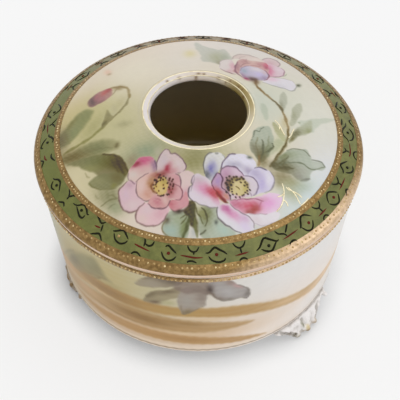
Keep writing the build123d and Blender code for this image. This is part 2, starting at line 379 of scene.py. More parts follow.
def paint_wall_side(p):
    """Leaves and ochre strokes of one side of the wall, round its middle."""
    # Shadowy leaf at the left
    leaf = p.shape(
        "-66,21 -60,27 -55,34 -50,41 -44,47 -37,51 -35,48 -33,43 -31,41 -36,40 -40,37 -44,33 -49,31 "
        "-55,28 -61,23",
        "#877d54", 0.8, 4,
    )
    p.wash(-50, 37, 3.4, "#6a6240", 0.85, 2, 60, leaf)
    p.wash(-38, 45, 3, "#77704a", 0.7, 1.8, 40, leaf)
    p.wash(-31, 38.6, 2, "#a89a64", 0.6, 3, 20)
    p.line("-63,25 -58,32 -53,39 -48,44.6", "#6b6440", 0.9, 0.6, 1.2)
    p.line("-55,28 -49,31.4 -43,34 -38,37.6 -35.6,40", "#6d6038", 0.8, 0.7, 0.9)
    p.wash(-40, 46, 4, "#938d62", 0.6, 2, 30, leaf)
    p.line("-41,38 -37,39.4 -33,41.4", "#7e6c42", 1.2, 0.6, 1.4)
    # Broad ochre strokes, drawn with a wide flat brush
    p.shape(
        "-94,18 -78,22 -62,28 -50,31 -40,36.5 -28,37.6 -12,37.2 2,37.4 14,36.4 24,33.2 34,29.6 44,26.8 "
        "54,25.6 66,27 80,30 94,33 108,34.6 94,30.6 80,26.4 66,22.4 54,20.4 48,20.4 40,22.4 30,25.6 "
        "20,28.4 10,30 0,31.4 -12,31 -26,30.6 -40,29.6 -52,26 -62,22 -78,18",
        "#ae8648", 0.9, 2.2,
    )
    p.wash(57, 23.6, 3, "#eccaa6", 0.85, 5, 8)
    p.wash(-34, 33.4, 3.8, "#93703c", 0.95, 3.8, 2)
    p.wash(-60, 24, 5, "#c9a070", 0.7, 2, 30)
    p.wash(-8, 34, 2.2, "#b0904f", 0.7, 5, 0)
    p.wash(16, 34.6, 1.6, "#b8935a", 0.7, 4.5, -12)
    p.wash(34, 27, 2.2, "#d9b98f", 0.75, 4.5, -17)
    p.wash(2, 29.8, 1.2, "#d8bc94", 0.85, 8, -3)
    p.shape(
        "-84,14 -70,17.4 -56,22 -44,26 -34,29 -22,30.2 -8,29.4 4,28 14,25.6 20,23.4 14,21.8 2,20.8 "
        "-14,20.2 -30,20 -44,18.6 -56,16 -70,14",
        "#ab8650", 0.8, 2.4,
    )
    p.wash(-21, 25.2, 2.8, "#8a6630", 0.95, 4, 0)
    p.wash(-4, 26.6, 1.6, "#94723f", 0.6, 4, -5)
    p.wash(-46, 22.6, 3, "#c9a276", 0.7, 2.6, 14)
    p.wash(-38, 29.6, 0.9, "#d2b388", 0.8, 8, 2)
    p.wash(-30, 20.6, 0.7, "#8c6c3c", 0.55, 14, 0)
    p.shape(
        "-56,13.4 -34,17.6 -20,18.4 -6,18 6,16.6 16,14.4 24,11.6 26,10.2 16,10.8 4,12 -8,12.6 -22,13 "
        "-38,12.6",
        "#b3884e", 0.85, 2,
    )
    p.wash(-4, 15.4, 1.5, "#ac8552", 0.75, 6, -4)
    p.wash(12, 13, 1.2, "#ba9364", 0.7, 4.5, -12)
    p.wash(-14, 11.6, 0.8, "#d9c2a4", 0.7, 14, 0)
    p.wash(-4, 19.4, 0.9, "#dcc29a", 0.8, 12, -2)
    # Grey-mauve leaves hanging under the rim
    leaf = p.shape(
        "-21,46.6 -20,49.6 -17.6,52.6 -14,55 -9,56 -4,56 -5.6,52.6 -8.6,50.2 -12,48.8 -16,47.4",
        "#958870", 0.9, 1,
    )
    p.wash(-9, 54, 3, "#5f5140", 0.85, 2, 0, leaf)
    p.wash(-15, 50, 2.4, "#9d9280", 0.7, 1.8, 30, leaf)
    p.line("-18.4,51.4 -15,54 -11,55.4", "#6b5c42", 0.8, 0.6, 0.9)
    leaf = p.shape(
        "-18.8,37 -18.2,40.4 -16.6,43.8 -14,46.2 -10.6,47.8 -7.4,50 -5.6,51 -5.8,46.6 -7,43.6 -9.6,42 "
        "-12.4,39.8 -15,38.4",
        "#978a6a", 0.9, 0.9,
    )
    p.wash(-16.2, 42.6, 1.4, "#6e6042", 0.85, 3, 52, leaf)
    p.wash(-10, 46.6, 1.3, "#6c5c42", 0.8, 3, 30, leaf)
    p.wash(-14.6, 38.6, 1.2, "#5f4a34", 0.8, 2, 25)
    p.wash(-10, 39.6, 1.6, "#a9a478", 0.7, 1.5)
    leaf = p.shape(
        "-5.4,32.8 -6.6,37 -7.1,41.4 -6.4,46 -5,49.6 -2,51.6 1,51.4 3,48 2.6,43.6 2.2,39 0.4,38 "
        "-1.4,35.8 -3.8,33.6",
        "#9b9084", 0.95, 0.9,
    )
    p.wash(-3.8, 42.6, 2.2, "#a19b92", 0.8, 1.8, 90, leaf)
    p.wash(1, 45, 1.8, "#84756a", 0.7, 2, 90, leaf)
    p.wash(-4, 34.6, 1.2, "#76643e", 0.8, 2, 50, leaf)
    p.line("-6,38.6 -5.4,34.6 -5,33 -3,34.6 -0.6,36.8 1.6,38.4", "#7a6848", 0.6, 0.7, 0.7)
    p.shape("-8,50 -5,56 4,56 5.6,51.6 3,46.4 0,47.6 -4,47", "#7b6a5e", 0.8, 1.6)
    p.wash(-3.6, 48.6, 1.3, "#8f7d74", 0.6, 2, 80)
    leaf = p.shape(
        "3,49 4.4,46.4 6,43 8.4,41.4 11.6,41.4 14.4,41.8 16.4,40.2 17.2,42.6 17,45 15.6,47.6 12.6,50.6 "
        "10.4,53.6 7,55.6 3.6,55",
        "#9d9692", 0.95, 0.8,
    )
    p.wash(9.6, 47, 2, "#aeaaa8", 0.9, 1.6, -50, leaf)
    p.wash(6.6, 43, 1.4, "#77695c", 0.8, 2.6, -40, leaf)
    p.wash(10.4, 41.8, 1, "#7d7466", 0.7, 2.4, 0, leaf)
    p.wash(16.2, 43.4, 1, "#6f6760", 0.8, 2.2, 80, leaf)
    p.wash(12.8, 49.8, 1.1, "#c09490", 0.8, 2, -45, leaf)
    p.wash(10, 53.4, 1.6, "#8d7468", 0.8, 1.6, -60, leaf)
    p.line("6,42.8 8.6,41.2 11.4,41.2 14.4,41.6 16.2,40.4", "#766c60", 0.6, 0.7, 0.6)
    p.line("12.8,50.4 15,48.2 16.7,45.6 17.1,43 16.4,40.2", "#6f675e", 0.6, 0.8, 0.6)
    p.wash(3.7, 49.4, 1.1, "#3d2c24", 0.9, 2.4, 95)
    p.line("3.6,47.6 4.9,45.6 5.6,43.6", "#62503f", 0.9, 0.7, 0.8)


painted_radius = 55
once_round = 345.6  # mm round the wall at the radius where it is unrolled


def paint_wall(around, height):
    """The whole wall unrolled: mm round from the front at the painted radius, and mm up."""
    p = Painting(around, height, "#dcd6cc")
    # The wide flat brush used here leaves streaks that run round the wall
    p.brush = 0.95 + 0.05 * np.sin(2.2 * height + 1.4 * np.sin(0.13 * around))
    # Airbrushed ground: olive cream at the left, white at the right, a pink flush near the base. The
    # white at the right is partly painted light, on the side towards the lamp
    for side in (0, once_round):
        p.wash(-62 + side, 44, 30, "#a9a688", 0.8, 1.3)
        p.wash(-58 + side, 20, 20, "#ad9664", 0.8, 1.3)
    p.wash(-32, 46, 17, "#b9a870", 1, 1.6)
    p.wash(-13, 43, 10, "#b8ad80", 0.9)
    p.wash(-50, 40, 9, "#a6945e", 0.9, 1.3)
    p.wash(-66, 40, 7, "#9fa389", 0.8, 2, 90)
    p.wash(5, 42, 9, "#cdc2ae", 0.7)
    p.wash(42, 46, 26, "#e2e1e0", 1, 1.6)
    p.wash(48, 26, 16, "#e9ddd4", 0.9, 1.5, -20)
    p.wash(40, 12, 12, "#ece8e6", 0.95, 2)
    p.wash(12, 20, 14, "#e6d2bf", 0.85, 1.6)
    p.wash(-30, 14, 12, "#c8a884", 0.9, 2.6)
    p.wash(-5, 15, 9, "#d0ad84", 0.9, 3)
    p.wash(-2, 10, 3, "#e6d6c6", 0.85, 9)
    p.wash(24, 12, 6, "#f2e6dc", 0.8, 3)
    # The same painting again on the far side, reached from both ends of the unrolled wall
    for middle in (once_round / 2, -once_round / 2, 0):
        p.place[:, 0] -= middle
        paint_wall_side(p)
        p.place[:, 0] += middle
    # Thin brown line just above the base, partly painted shade where the wall turns under, with pale
    # bands above and below it; the one on the rounded corner is a painted highlight
    p.wash(-10, 9.4, 0.9, "#ecdac4", 0.8, 60, 0)
    p.wash(0, 7, 0.45, "#f6eee6", 0.85, 1000, 0)
    p.wash(0, 8, 0.26, "#7c6a54", 0.9, 1000, 0)
    return p


# Inside colour: khaki, painted darker than the outside as shade inside the jar
inside_khaki_and_shade = "#c4ae6e"
bare_base = "#e4dfd8"
rim_top_white = "#e0d8ce"
rim_highlight_pink = "#d8bca4"
wall_slope = 0.0947
spots = places(bowl)
up = spots[:, 2]
reach = np.hypot(spots[:, 0], spots[:, 1])
outside = (reach > 51.2) & (reach > 51.9 + (up - 8) * wall_slope)
around = np.arctan2(spots[:, 0], -spots[:, 1]) * painted_radius
colours = np.tile(tint(inside_khaki_and_shade), (len(spots), 1))
colours[up <= base_height + 0.01] = tint(bare_base)
colours[outside] = paint_wall(around[outside], up[outside]).colour
colours[(up > 56.4) & (reach > 53.3)] = tint(rim_top_white)
# The rounded outer edge of the rim is pale pink: a painted highlight
colours[(up > 56.4) & (reach > 56.4)] = tint(rim_highlight_pink)
lay_paint(bowl, colours)

# Clear-glazed porcelain: painted colour under a smooth glassy coat, faintly mottled and rippled
porcelain, nodes = new_material("clear_glazed_porcelain")
coords = add_node(nodes, "ShaderNodeTexCoord")
paint = add_node(nodes, "ShaderNodeAttribute", attribute_name="paint")
mottle = add_node(
    nodes,
    "ShaderNodeTexNoise",
    {"Vector": coords.outputs["Object"], "Scale": 320, "Detail": 5, "Roughness": 0.6},
)
shade = add_node(
    nodes,
    "ShaderNodeMapRange",
    {"Value": mottle.outputs["Fac"], "From Min": 0.3, "From Max": 0.7, "To Min": 0.975, "To Max": 1.015},
)
mottled = add_node(
    nodes,
    "ShaderNodeVectorMath",
    {0: paint.outputs["Color"], "Scale": shade.outputs[0]},
    operation="SCALE",
)
ripple = add_node(
    nodes, "ShaderNodeTexNoise", {"Vector": coords.outputs["Object"], "Scale": 180, "Detail": 1}
)
bump = add_node(
    nodes, "ShaderNodeBump", {"Height": ripple.outputs["Fac"], "Strength": 0.1, "Distance": 0.4 * MM}
)
surface = add_node(
    nodes,
    "ShaderNodeBsdfPrincipled",
    {
        "Base Color": mottled.outputs["Vector"],
        "Roughness": 0.3,
        "IOR": 1.5,
        "Normal": bump.outputs["Normal"],
    },
)
add_node(nodes, "ShaderNodeOutputMaterial", {"Surface": surface.outputs[0]})
bowl.data.materials.append(porcelain)
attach(bowl, "bowl")
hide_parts("bowl")


# Feet: three press-moulded porcelain brackets, luted under the base. Each has a fluted, bulging face
# that ends in a small scroll, and three toes; white glaze, with worn gilding dabbed on the toes.
def pick(test):
    """Selects the points of the mesh in edit mode whose place, in millimetres, passes a test."""
    bpy.ops.mesh.select_all(action="DESELECT")
    form = bmesh.from_edit_mesh(bpy.context.object.data)
    for point in form.verts:
        point.select_set(bool(test(*(point.co / MM))))
    form.select_flush(True)
    bmesh.update_edit_mesh(bpy.context.object.data)


foot_top = 7.1
foot_width = 29.2
foot_depth = 6
levels = 14
flute_pitch = 5.2
flute_depth = 0.75
face_heights = (0, 1, 2, 3, 4, 5, 6, 7.1)
face_radii = (55.5, 55.8, 55.8, 55.6, 55.2, 54.6, 53.9, 53.1)
half_widths = (6.2, 6.4, 6.9, 7.8, 9.3, 11, 12.9, 14.6)


def bowed(across):
    """How far a foot's face lies back at a distance from its middle, to follow the round base."""
    return across**2 / 106


bpy.ops.object.select_all(action="DESELECT")
bpy.ops.mesh.primitive_cube_add(size=MM, location=(-foot_depth / 2 * MM, 0, foot_top / 2 * MM))
foot = bpy.context.object
bpy.ops.object.mode_set(mode="EDIT")
bpy.ops.transform.resize(value=(foot_depth, foot_width, foot_top))
bpy.ops.mesh.select_all(action="SELECT")
bpy.ops.mesh.subdivide(number_cuts=levels - 1)
bpy.ops.object.mode_set(mode="OBJECT")
bpy.ops.object.transform_apply()
bpy.ops.object.mode_set(mode="EDIT")
for column in range(levels + 1):
    across = (column / levels - 0.5) * foot_width
    pick(lambda x, y, z: abs(y - across) < 0.5)
    bpy.ops.transform.translate(value=(-bowed(across) * MM, 0, 0))
    press = flute_depth * math.cos(2 * math.pi * (across - 0.6) / flute_pitch)
    pick(lambda x, y, z: abs(y - across) < 0.5 and x > -bowed(across) - 0.5 and 1.2 < z < 6.8)
    bpy.ops.transform.translate(value=(press * MM, 0, 0))
for level in range(levels + 1):
    height = level / levels * foot_top
    pick(lambda x, y, z: abs(z - height) < 0.2)
    narrow = np.interp(height, face_heights, half_widths) / (foot_width / 2)
    bpy.ops.transform.resize(value=(1, narrow, 1), center_override=(0, 0, 0))
    bpy.ops.transform.translate(value=(np.interp(height, face_heights, face_radii) * MM, 0, 0))
knobs = [  # out, across, up, size: the three toes, then a small scroll at the end of the top edge
    (54.6, -0.7, 1.9, 1.7),
    (54.9, 3.6, 1.7, 1.2),
    (54.4, -5.2, 1.3, 1.2),
    (52.3, 13.2, 6.2, 0.9),
]
for out, across, up, size in knobs:
    bpy.ops.mesh.select_all(action="DESELECT")
    place = (out * MM, across * MM, up * MM)
    bpy.ops.mesh.primitive_uv_sphere_add(segments=20, ring_count=12, radius=size * MM, location=place)
    bpy.ops.transform.resize(value=(1.2, 0.95, 1.05))
bpy.ops.object.mode_set(mode="OBJECT")
fuse = foot.modifiers.new("fuse", "REMESH")
fuse.mode = "VOXEL"
fuse.voxel_size = 0.24 * MM
bpy.ops.object.modifier_apply(modifier="fuse")
# The mould's carving is worn: small shells and scrolls are left as soft lumps
carving = bpy.data.textures.new("worn_carving", "CLOUDS")
carving.noise_scale = 2.2 * MM
carving.noise_depth = 1
lumps = foot.modifiers.new("lumps", "DISPLACE")
lumps.texture = carving
lumps.strength = 1.3 * MM
bpy.ops.object.modifier_apply(modifier="lumps")
ease = foot.modifiers.new("ease", "SMOOTH")
ease.factor = 0.5
ease.iterations = 3
bpy.ops.object.modifier_apply(modifier="ease")
# The soles are pressed flat on the table
for point in foot.data.vertices:
    point.co.z = max(point.co.z, 0.02 * MM)
bpy.ops.object.shade_smooth_by_angle(angle=math.radians(60))

# Painted shade: grey in the hollows of the fluting. The gilding is brown where it has worn
out, across, up = places(foot).T
face = np.interp(up, face_heights, face_radii) - bowed(across)
p = Painting(across, up, "#f0ecea")
hollow = np.clip(face - out - 0.1, 0, 0.8) * (out > face - 1.6) / 0.8
p.colour += 0.6 * hollow[:, None] * (tint("#9c968e") - p.colour)
front = out > face - 3
on_front = (front, np.ones(front.sum()))
# Worn gilding on the toes, with a painted highlight on top of the big toe; the grey and olive marks higher up
# are painted shade in the grooves
gilt_and_painted_light = [  # across, up, size, colour, strength
    (-0.7, 1.2, 1.3, "#8a6a38", 0.9),
    (-0.9, 2.9, 0.8, "#dcc894", 0.9),
    (0.6, 1.8, 0.7, "#cfae84", 0.9),
    (3.6, 1.5, 1.0, "#8c7048", 0.85),
    (4.2, 2.6, 0.6, "#a8906a", 0.7),
    (-5.4, 1.1, 1.0, "#6e6240", 0.9),
    (-2.6, 5.0, 0.8, "#7c7a66", 0.85),
    (-8.4, 4.0, 1.0, "#8f8478", 0.5),
    (9.5, 5.4, 0.7, "#9a9894", 0.6),
]
gilt = np.zeros(len(out))
for x, y, size, colour, strength in gilt_and_painted_light:
    p.wash(x, y, size, colour, strength, within=on_front)
    if y < 3:  # only on the toes is there any gold left
        off = ((across[front] - x) ** 2 + (up[front] - y) ** 2) / size**2
        gilt[front] = np.maximum(gilt[front], np.exp(-off))
lay_paint(foot, p.colour)
wear = foot.data.attributes.new("gilding", "FLOAT", "POINT")
wear.data.foreach_set("value", gilt)

# White-glazed porcelain with gilding over it: glassy where it is bare, metallic where gold is left
gilt_dabbed, nodes = new_material("gilt_dabbed_white_porcelain")
coords = add_node(nodes, "ShaderNodeTexCoord")
paint = add_node(nodes, "ShaderNodeAttribute", attribute_name="paint")
gold_left = add_node(nodes, "ShaderNodeAttribute", attribute_name="gilding")
mottle = add_node(
    nodes, "ShaderNodeTexNoise", {"Vector": coords.outputs["Object"], "Scale": 700, "Detail": 4}
)
shade = add_node(
    nodes,
    "ShaderNodeMapRange",
    {"Value": mottle.outputs["Fac"], "From Min": 0.3, "From Max": 0.7, "To Min": 0.93, "To Max": 1.03},
)
mottled = add_node(
    nodes, "ShaderNodeVectorMath", {0: paint.outputs["Color"], "Scale": shade.outputs[0]}, operation="SCALE"
)
metal = add_node(
    nodes, "ShaderNodeMath", {0: gold_left.outputs["Fac"], 1: 0.55}, operation="MULTIPLY"
)
bump = add_node(
    nodes, "ShaderNodeBump", {"Height": mottle.outputs["Fac"], "Strength": 0.2, "Distance": 0.3 * MM}
)
surface = add_node(
    nodes,
    "ShaderNodeBsdfPrincipled",
    {
        "Base Color": mottled.outputs["Vector"],
        "Metallic": metal.outputs[0],
        "Roughness": 0.3,
        "IOR": 1.5,
        "Normal": bump.outputs["Normal"],
    },
)
add_node(nodes, "ShaderNodeOutputMaterial", {"Surface": surface.outputs[0]})
foot.data.materials.append(gilt_dabbed)
bulge_from = 53
foot_bearings = {  # degrees from +X, how much nearer to the axis it was luted on, and its bulge
    "foot_front_right": (-43, 0, 1),
    "foot_left": (-163, 2.2, 0.55),
    "foot_back_right": (77, 0, 1),
}
for name, (bearing, inset, bulge) in foot_bearings.items():
    copy = foot.copy()
    copy.data = foot.data.copy()
    copy.name = copy.data.name = name + "_porcelain"
    for point in copy.data.vertices:
        beyond = max(point.co.x - bulge_from * MM, 0)
        point.co.x = min(point.co.x, bulge_from * MM) + bulge * beyond
    turn = mathutils.Matrix.Rotation(math.radians(bearing), 4, "Z")
    copy.data.transform(turn @ mathutils.Matrix.Translation((-inset * MM, 0, 0)))
    if name == "foot_left":
        # It is painted darker and more brown than the other two: painted shade on the side away from the lamp
        brown = p.colour + 0.7 * (tint("#7c6444") - p.colour)
        copy.data.color_attributes.remove(copy.data.color_attributes["paint"])
        lay_paint(copy, brown)
    scene.collection.objects.link(copy)
    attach(copy, "bowl")
    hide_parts(name)
bpy.data.objects.remove(foot)


# Gilding at the bowl's rim: a row of small raised beads on a band of old gold, fired over the
# glaze. The band has worn to a dull brown, and the beads are pale in patches, partly rubbed gold
# and partly painted highlight.
def set_out(piece, name, spots):
    """Copies of a piece, each with its own mesh, laid out at places and joined into one piece."""
    copies = []
    for place in spots:
        copy = piece.copy()
        copy.data = piece.data.copy()
        copy.data.transform(place)
        scene.collection.objects.link(copy)
        copies.append(copy)
    bpy.data.objects.remove(piece)
    bpy.ops.object.select_all(action="DESELECT")
    for copy in copies:
        copy.select_set(True)
    bpy.context.view_layer.objects.active = copies[0]
    bpy.ops.object.join()
    joined = bpy.context.object
    joined.name = joined.data.name = name
    return joined


def bead(radius, height):
    """Low round bead with its flat side at z = 0, made from a small sphere."""
    bpy.ops.object.select_all(action="DESELECT")
    bpy.ops.mesh.primitive_ico_sphere_add(subdivisions=2, radius=radius * MM)
    bpy.ops.object.mode_set(mode="EDIT")
    bpy.ops.mesh.select_all(action="SELECT")
    cut_place = (0, 0, -0.2 * radius * MM)
    bpy.ops.mesh.bisect(plane_co=cut_place, plane_no=(0, 0, -1), clear_outer=True, use_fill=True)
    bpy.ops.mesh.select_all(action="SELECT")
    bpy.ops.transform.resize(value=(1, 1, height / radius))
    bpy.ops.object.mode_set(mode="OBJECT")
    bpy.ops.object.shade_smooth_by_angle(angle=math.radians(50))
    return bpy.context.object


arc_radius = 53  # the radius at which every arc from the front is measured


def on_ring(radius, height, lean, along):
    """Place on a ring, by its arc from the front in mm, with z out of a surface that leans."""
    turn = mathutils.Matrix.Rotation(math.radians(-90) + along / arc_radius, 4, "Z")
    slope = mathutils.Matrix.Rotation(math.radians(lean), 4, "Y")
    return turn @ mathutils.Matrix.Translation((radius * MM, 0, height * MM)) @ slope


# Liquid gold, long worn: a brown metal, dull in the low places and brighter where it is rubbed,
# with a painted highlight low on the front right
old_gold, nodes = new_material("worn_liquid_gold")
coords = add_node(nodes, "ShaderNodeTexCoord")
wear = add_node(nodes, "ShaderNodeTexNoise", {"Vector": coords.outputs["Object"], "Scale": 800, "Detail": 4})
worn = add_node(
    nodes, "ShaderNodeMapRange", {"Value": wear.outputs["Fac"], "From Min": 0.35, "From Max": 0.65}
)
dull = add_node(
    nodes,
    "ShaderNodeMapRange",
    {"Value": wear.outputs["Fac"], "From Min": 0.35, "From Max": 0.65, "To Min": 0.42, "To Max": 0.26},
)
aged = add_node(
    nodes,
    "ShaderNodeMix",
    {0: worn.outputs[0], 6: (*linear("#765c33"), 1), 7: (*linear("#9b7d4d"), 1)},
    data_type="RGBA",
)
# Painted highlight: paler gold in patches low on the front right, standing in for the lamp's glare
# on the rounded edges
glare_side = (0.73, -0.68, -1.5)
place = add_node(
    nodes,
    "ShaderNodeVectorMath",
    {0: coords.outputs["Object"], 1: glare_side},
    operation="DOT_PRODUCT",
)
rubbed = add_node(
    nodes,
    "ShaderNodeMapRange",
    {"Value": wear.outputs["Fac"], "From Min": 0.32, "From Max": 0.62, "To Min": 0.6, "To Max": 0.95},
)
painted_glare = add_node(
    nodes,
    "ShaderNodeMapRange",
    {
        "Value": place.outputs["Value"],
        "From Min": -45 * MM,
        "From Max": -35 * MM,
        "To Max": rubbed.outputs[0],
    },
)
gold = add_node(
    nodes,
    "ShaderNodeMix",
    {0: painted_glare.outputs[0], 6: aged.outputs[2], 7: (*linear("#e6c9a8"), 1)},
    data_type="RGBA",
)
surface = add_node(
    nodes,
    "ShaderNodeBsdfPrincipled",
    {"Base Color": gold.outputs[2], "Metallic": 0.75, "Roughness": dull.outputs[0]},
)
add_node(nodes, "ShaderNodeOutputMaterial", {"Surface": surface.outputs[0]})

# Gold on raised enamel: brown, going to a pale yellow in patches that are partly rubbed gold and
# partly painted highlight
bright_gold, nodes = new_material("gold_grains_with_painted_highlights")
coords = add_node(nodes, "ShaderNodeTexCoord")
wear = add_node(nodes, "ShaderNodeTexNoise", {"Vector": coords.outputs["Object"], "Scale": 900, "Detail": 2})
worn = add_node(
    nodes, "ShaderNodeMapRange", {"Value": wear.outputs["Fac"], "From Min": 0.45, "From Max": 0.72}
)
gold = add_node(
    nodes,
    "ShaderNodeMix",
    {0: worn.outputs[0], 6: (*linear("#a88856"), 1), 7: (*linear("#f2dfac"), 1)},
    data_type="RGBA",
)
surface = add_node(
    nodes,
    "ShaderNodeBsdfPrincipled",
    {"Base Color": gold.outputs[2], "Metallic": 0.8, "Roughness": 0.35},
)
add_node(nodes, "ShaderNodeOutputMaterial", {"Surface": surface.outputs[0]})

rng = np.random.default_rng(4)
bead_count = 250
wall_lean = math.degrees(math.atan2(4.8, 50.7))
band = rounded([(56.3, 54.3, 0), (57.0, 54.3, 0.1), (57.12, 56.3, 0.1), (56.4, 56.3, 0)], 2)
rim_band = turned("rim_band", band, 480)
rim_band.data.materials.append(old_gold)
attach(rim_band, "bowl")
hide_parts("rim_gilding")
spots = []
for i in range(bead_count):
    along = i * 2 * math.pi * arc_radius / bead_count
    spots.append(on_ring(56.95, 55.2 + rng.uniform(-0.12, 0.12), 90 - wall_lean, along))
beads = set_out(bead(0.48, 0.34), "rim_beads", spots)
beads.data.materials.append(bright_gold)
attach(beads, "bowl")


# Lid: slip-cast porcelain, a rounded edge and shoulder, a low dome and a raised lip round the hole.
# White glaze underneath and in the hole; the top is covered by the border and the painted field.
shoulder_end = np.array([56.003, 62.351])
lip_foot = np.array([20.6, 75.95])
shoulder_slope = math.radians(27)
dome_normal = np.array([math.sin(shoulder_slope), math.cos(shoulder_slope)])
chord = lip_foot - shoulder_end
dome_radius = -(chord @ chord) / (2 * chord @ dome_normal)
dome_centre = shoulder_end - dome_radius * dome_normal
shoulder_start = 48
shoulder_width = 8
shoulder_drop = 0.8


def dome_height(radius):
    """Height of the lid's top at a distance from the axis; it falls away under the border."""
    radius = np.asarray(radius, float)
    dome = dome_centre[1] + np.sqrt(dome_radius**2 - (radius - dome_centre[0]) ** 2)
    out_on_shoulder = np.maximum(radius - shoulder_start, 0) / shoulder_width
    return dome - shoulder_drop * out_on_shoulder**1.5


def arc(first, last, bulge, steps):
    """Points on the arc from first to last that stands out at the left of its chord by bulge."""
    first = np.array(first, float)
    last = np.array(last, float)
    run = last - first
    half = np.hypot(*run) / 2
    side = np.array([-run[1], run[0]]) / (2 * half)
    radius = (half**2 + bulge**2) / (2 * bulge)
    middle = (first + last) / 2 + side * (bulge - radius)
    x, y = first - middle
    sweep = -math.copysign(2 * math.atan2(half, abs(radius - bulge)), bulge)
    turns = np.linspace(0, sweep, steps)[:, None]
    return middle + np.hstack([x * np.cos(turns) - y * np.sin(turns), x * np.sin(turns) + y * np.cos(turns)])


lid_radius = 57.75
border_out = 55.9
border_slope = (dome_height(border_out) - dome_height(border_out - 0.2)) / 0.2
edge_corner = float(dome_height(border_out) + border_slope * (lid_radius - border_out))
edge_outline = rounded(
    [
        (57.2, rim_height, 0),
        (lid_radius, 58.2, 0.6),
        (lid_radius, edge_corner, 1.7),
        (border_out, float(dome_height(border_out)), 0),
    ],
    10,
)
# From the dome over the lip into the hole, and back to the rim along the hollow underneath
lip_crest = (19.1, 76.9)
hole_edge = (16.6, 75.0)
hole_under = (17.4, 74.2)
dome_radii = np.linspace(border_out, lip_foot[0], 40)
lid_outline = np.vstack(
    [
        edge_outline[:-1],
        np.stack([dome_radii, dome_height(dome_radii)], 1),
        arc(lip_foot, lip_crest, -0.3, 9)[1:],
        arc(lip_crest, hole_edge, -0.72, 15)[1:],
        arc(hole_edge, hole_under, -0.2, 5)[1:],
        arc(hole_under, (inside_rim, rim_height), 3.0, 26)[1:],
    ]
)
lid = turned("lid_body", lid_outline, 360)
lid.data.materials.append(porcelain)
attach(lid, "lid")
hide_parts("lid")


sunk = 0.15  # how far each layer on the lid reaches down into it


def skin(points, thickness):
    """Closed outline of a thin layer on the lid, over points that run from its edge inwards."""
    along = np.gradient(points, axis=0)
    outward = np.stack([along[:, 1], -along[:, 0]], 1)
    outward /= np.hypot(*outward.T)[:, None]
    return np.vstack([points + thickness * outward, (points - sunk * outward)[::-1]])


# Flange: a ring of the same porcelain luted under the lid, which keeps it centred in the bowl.
# It has plain white glaze, a little clouded, that gives broad soft highlights.
white_glaze, nodes = new_material("white_glazed_porcelain")
coords = add_node(nodes, "ShaderNodeTexCoord")
cloud = add_node(nodes, "ShaderNodeTexNoise", {"Vector": coords.outputs["Object"], "Scale": 120, "Detail": 3})
clouded = add_node(
    nodes,
    "ShaderNodeMix",
    {0: cloud.outputs["Fac"], 6: (*linear("#cfc8c0"), 1), 7: (*linear("#e6e2dc"), 1)},
    data_type="RGBA",
)
surface = add_node(
    nodes,
    "ShaderNodeBsdfPrincipled",
    {"Base Color": clouded.outputs[2], "Roughness": 0.35, "IOR": 1.5},
)
add_node(nodes, "ShaderNodeOutputMaterial", {"Surface": surface.outputs[0]})
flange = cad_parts["lid_flange"]
flange.data.materials.clear()
flange.data.materials.append(white_glaze)


# Painted field of the lid: a spray of three anemones, a bud and leaves, airbrushed and brushed in
# soft colours on a shaded ground and fired under its own thin glaze, from the gold band to the lip.
def paint_lid(x, y):
    """Airbrushed ground of the lid's painting, partly painted light, seen from above, in mm from the axis."""
    p = Painting(x, y, "#d6ccb6")
    # Ground: airbrushed from tan and olive at the left and front to white and pale blue at the right.
    # The pale pink at the back is a painted reflection, and the pale blue-white at the front right a
    # painted highlight
    p.wash(0, 50, 26, "#e0d4ca", 0.9, 2)
    p.wash(-30, 38, 15, "#dccdb8", 0.85, 1.6, 40)
    p.wash(-46, 8, 12, "#c8b47e", 0.9, 1.4, 90)
    p.wash(-36, -2, 14, "#b9b178", 0.95, 1.2, 90)
    p.wash(-27, -8, 13, "#c0ba90", 0.9)
    p.wash(-22, 24, 12, "#e0d8c2", 0.85)
    p.wash(-44, 24, 8, "#dccfbc", 0.8, 1.6, 60)
    p.wash(-5, 28, 9, "#dcd4c8", 0.7)
    p.wash(36, 30, 16, "#d4ccc0", 0.9)
    p.wash(20, 42, 12, "#d3cdc8", 0.8, 1.6)
    p.wash(30, 8, 15, "#cccdba", 0.9, 1.2, 90)
    p.wash(43, 0, 12, "#d8d7cc", 0.9, 1.8, 90)
    p.wash(22, 4, 6, "#c3c9bc", 0.7, 1.6, 90)
    p.wash(44, -19, 9, "#d8d8d8", 1.0, 1.5, 65)
    p.wash(36, -34, 9, "#cbd8dc", 1.0, 1.6, 45)
    p.wash(12, -47, 12, "#c6cdc8", 0.8, 2)
    p.wash(-20, -44, 10, "#dccdc2", 0.9, 2, -25)
    p.wash(-38, -27, 9, "#d0c59e", 0.9, 2, -55)
    p.wash(-14, -17, 7, "#a0a07a", 0.8, 2, 10)
    p.wash(-2, -23, 5, "#8a8656", 0.95, 1.6)
    p.wash(-22, -22, 3, "#8d8a62", 0.7, 1.4, -40)
    p.wash(1, -21, 2.6, "#7f7b4c", 0.6, 1.6)
    p.wash(8, -21, 6, "#a9a57e", 0.6, 1.6)
    p.wash(-8, -21, 4, "#b0a67e", 0.5)
    return p


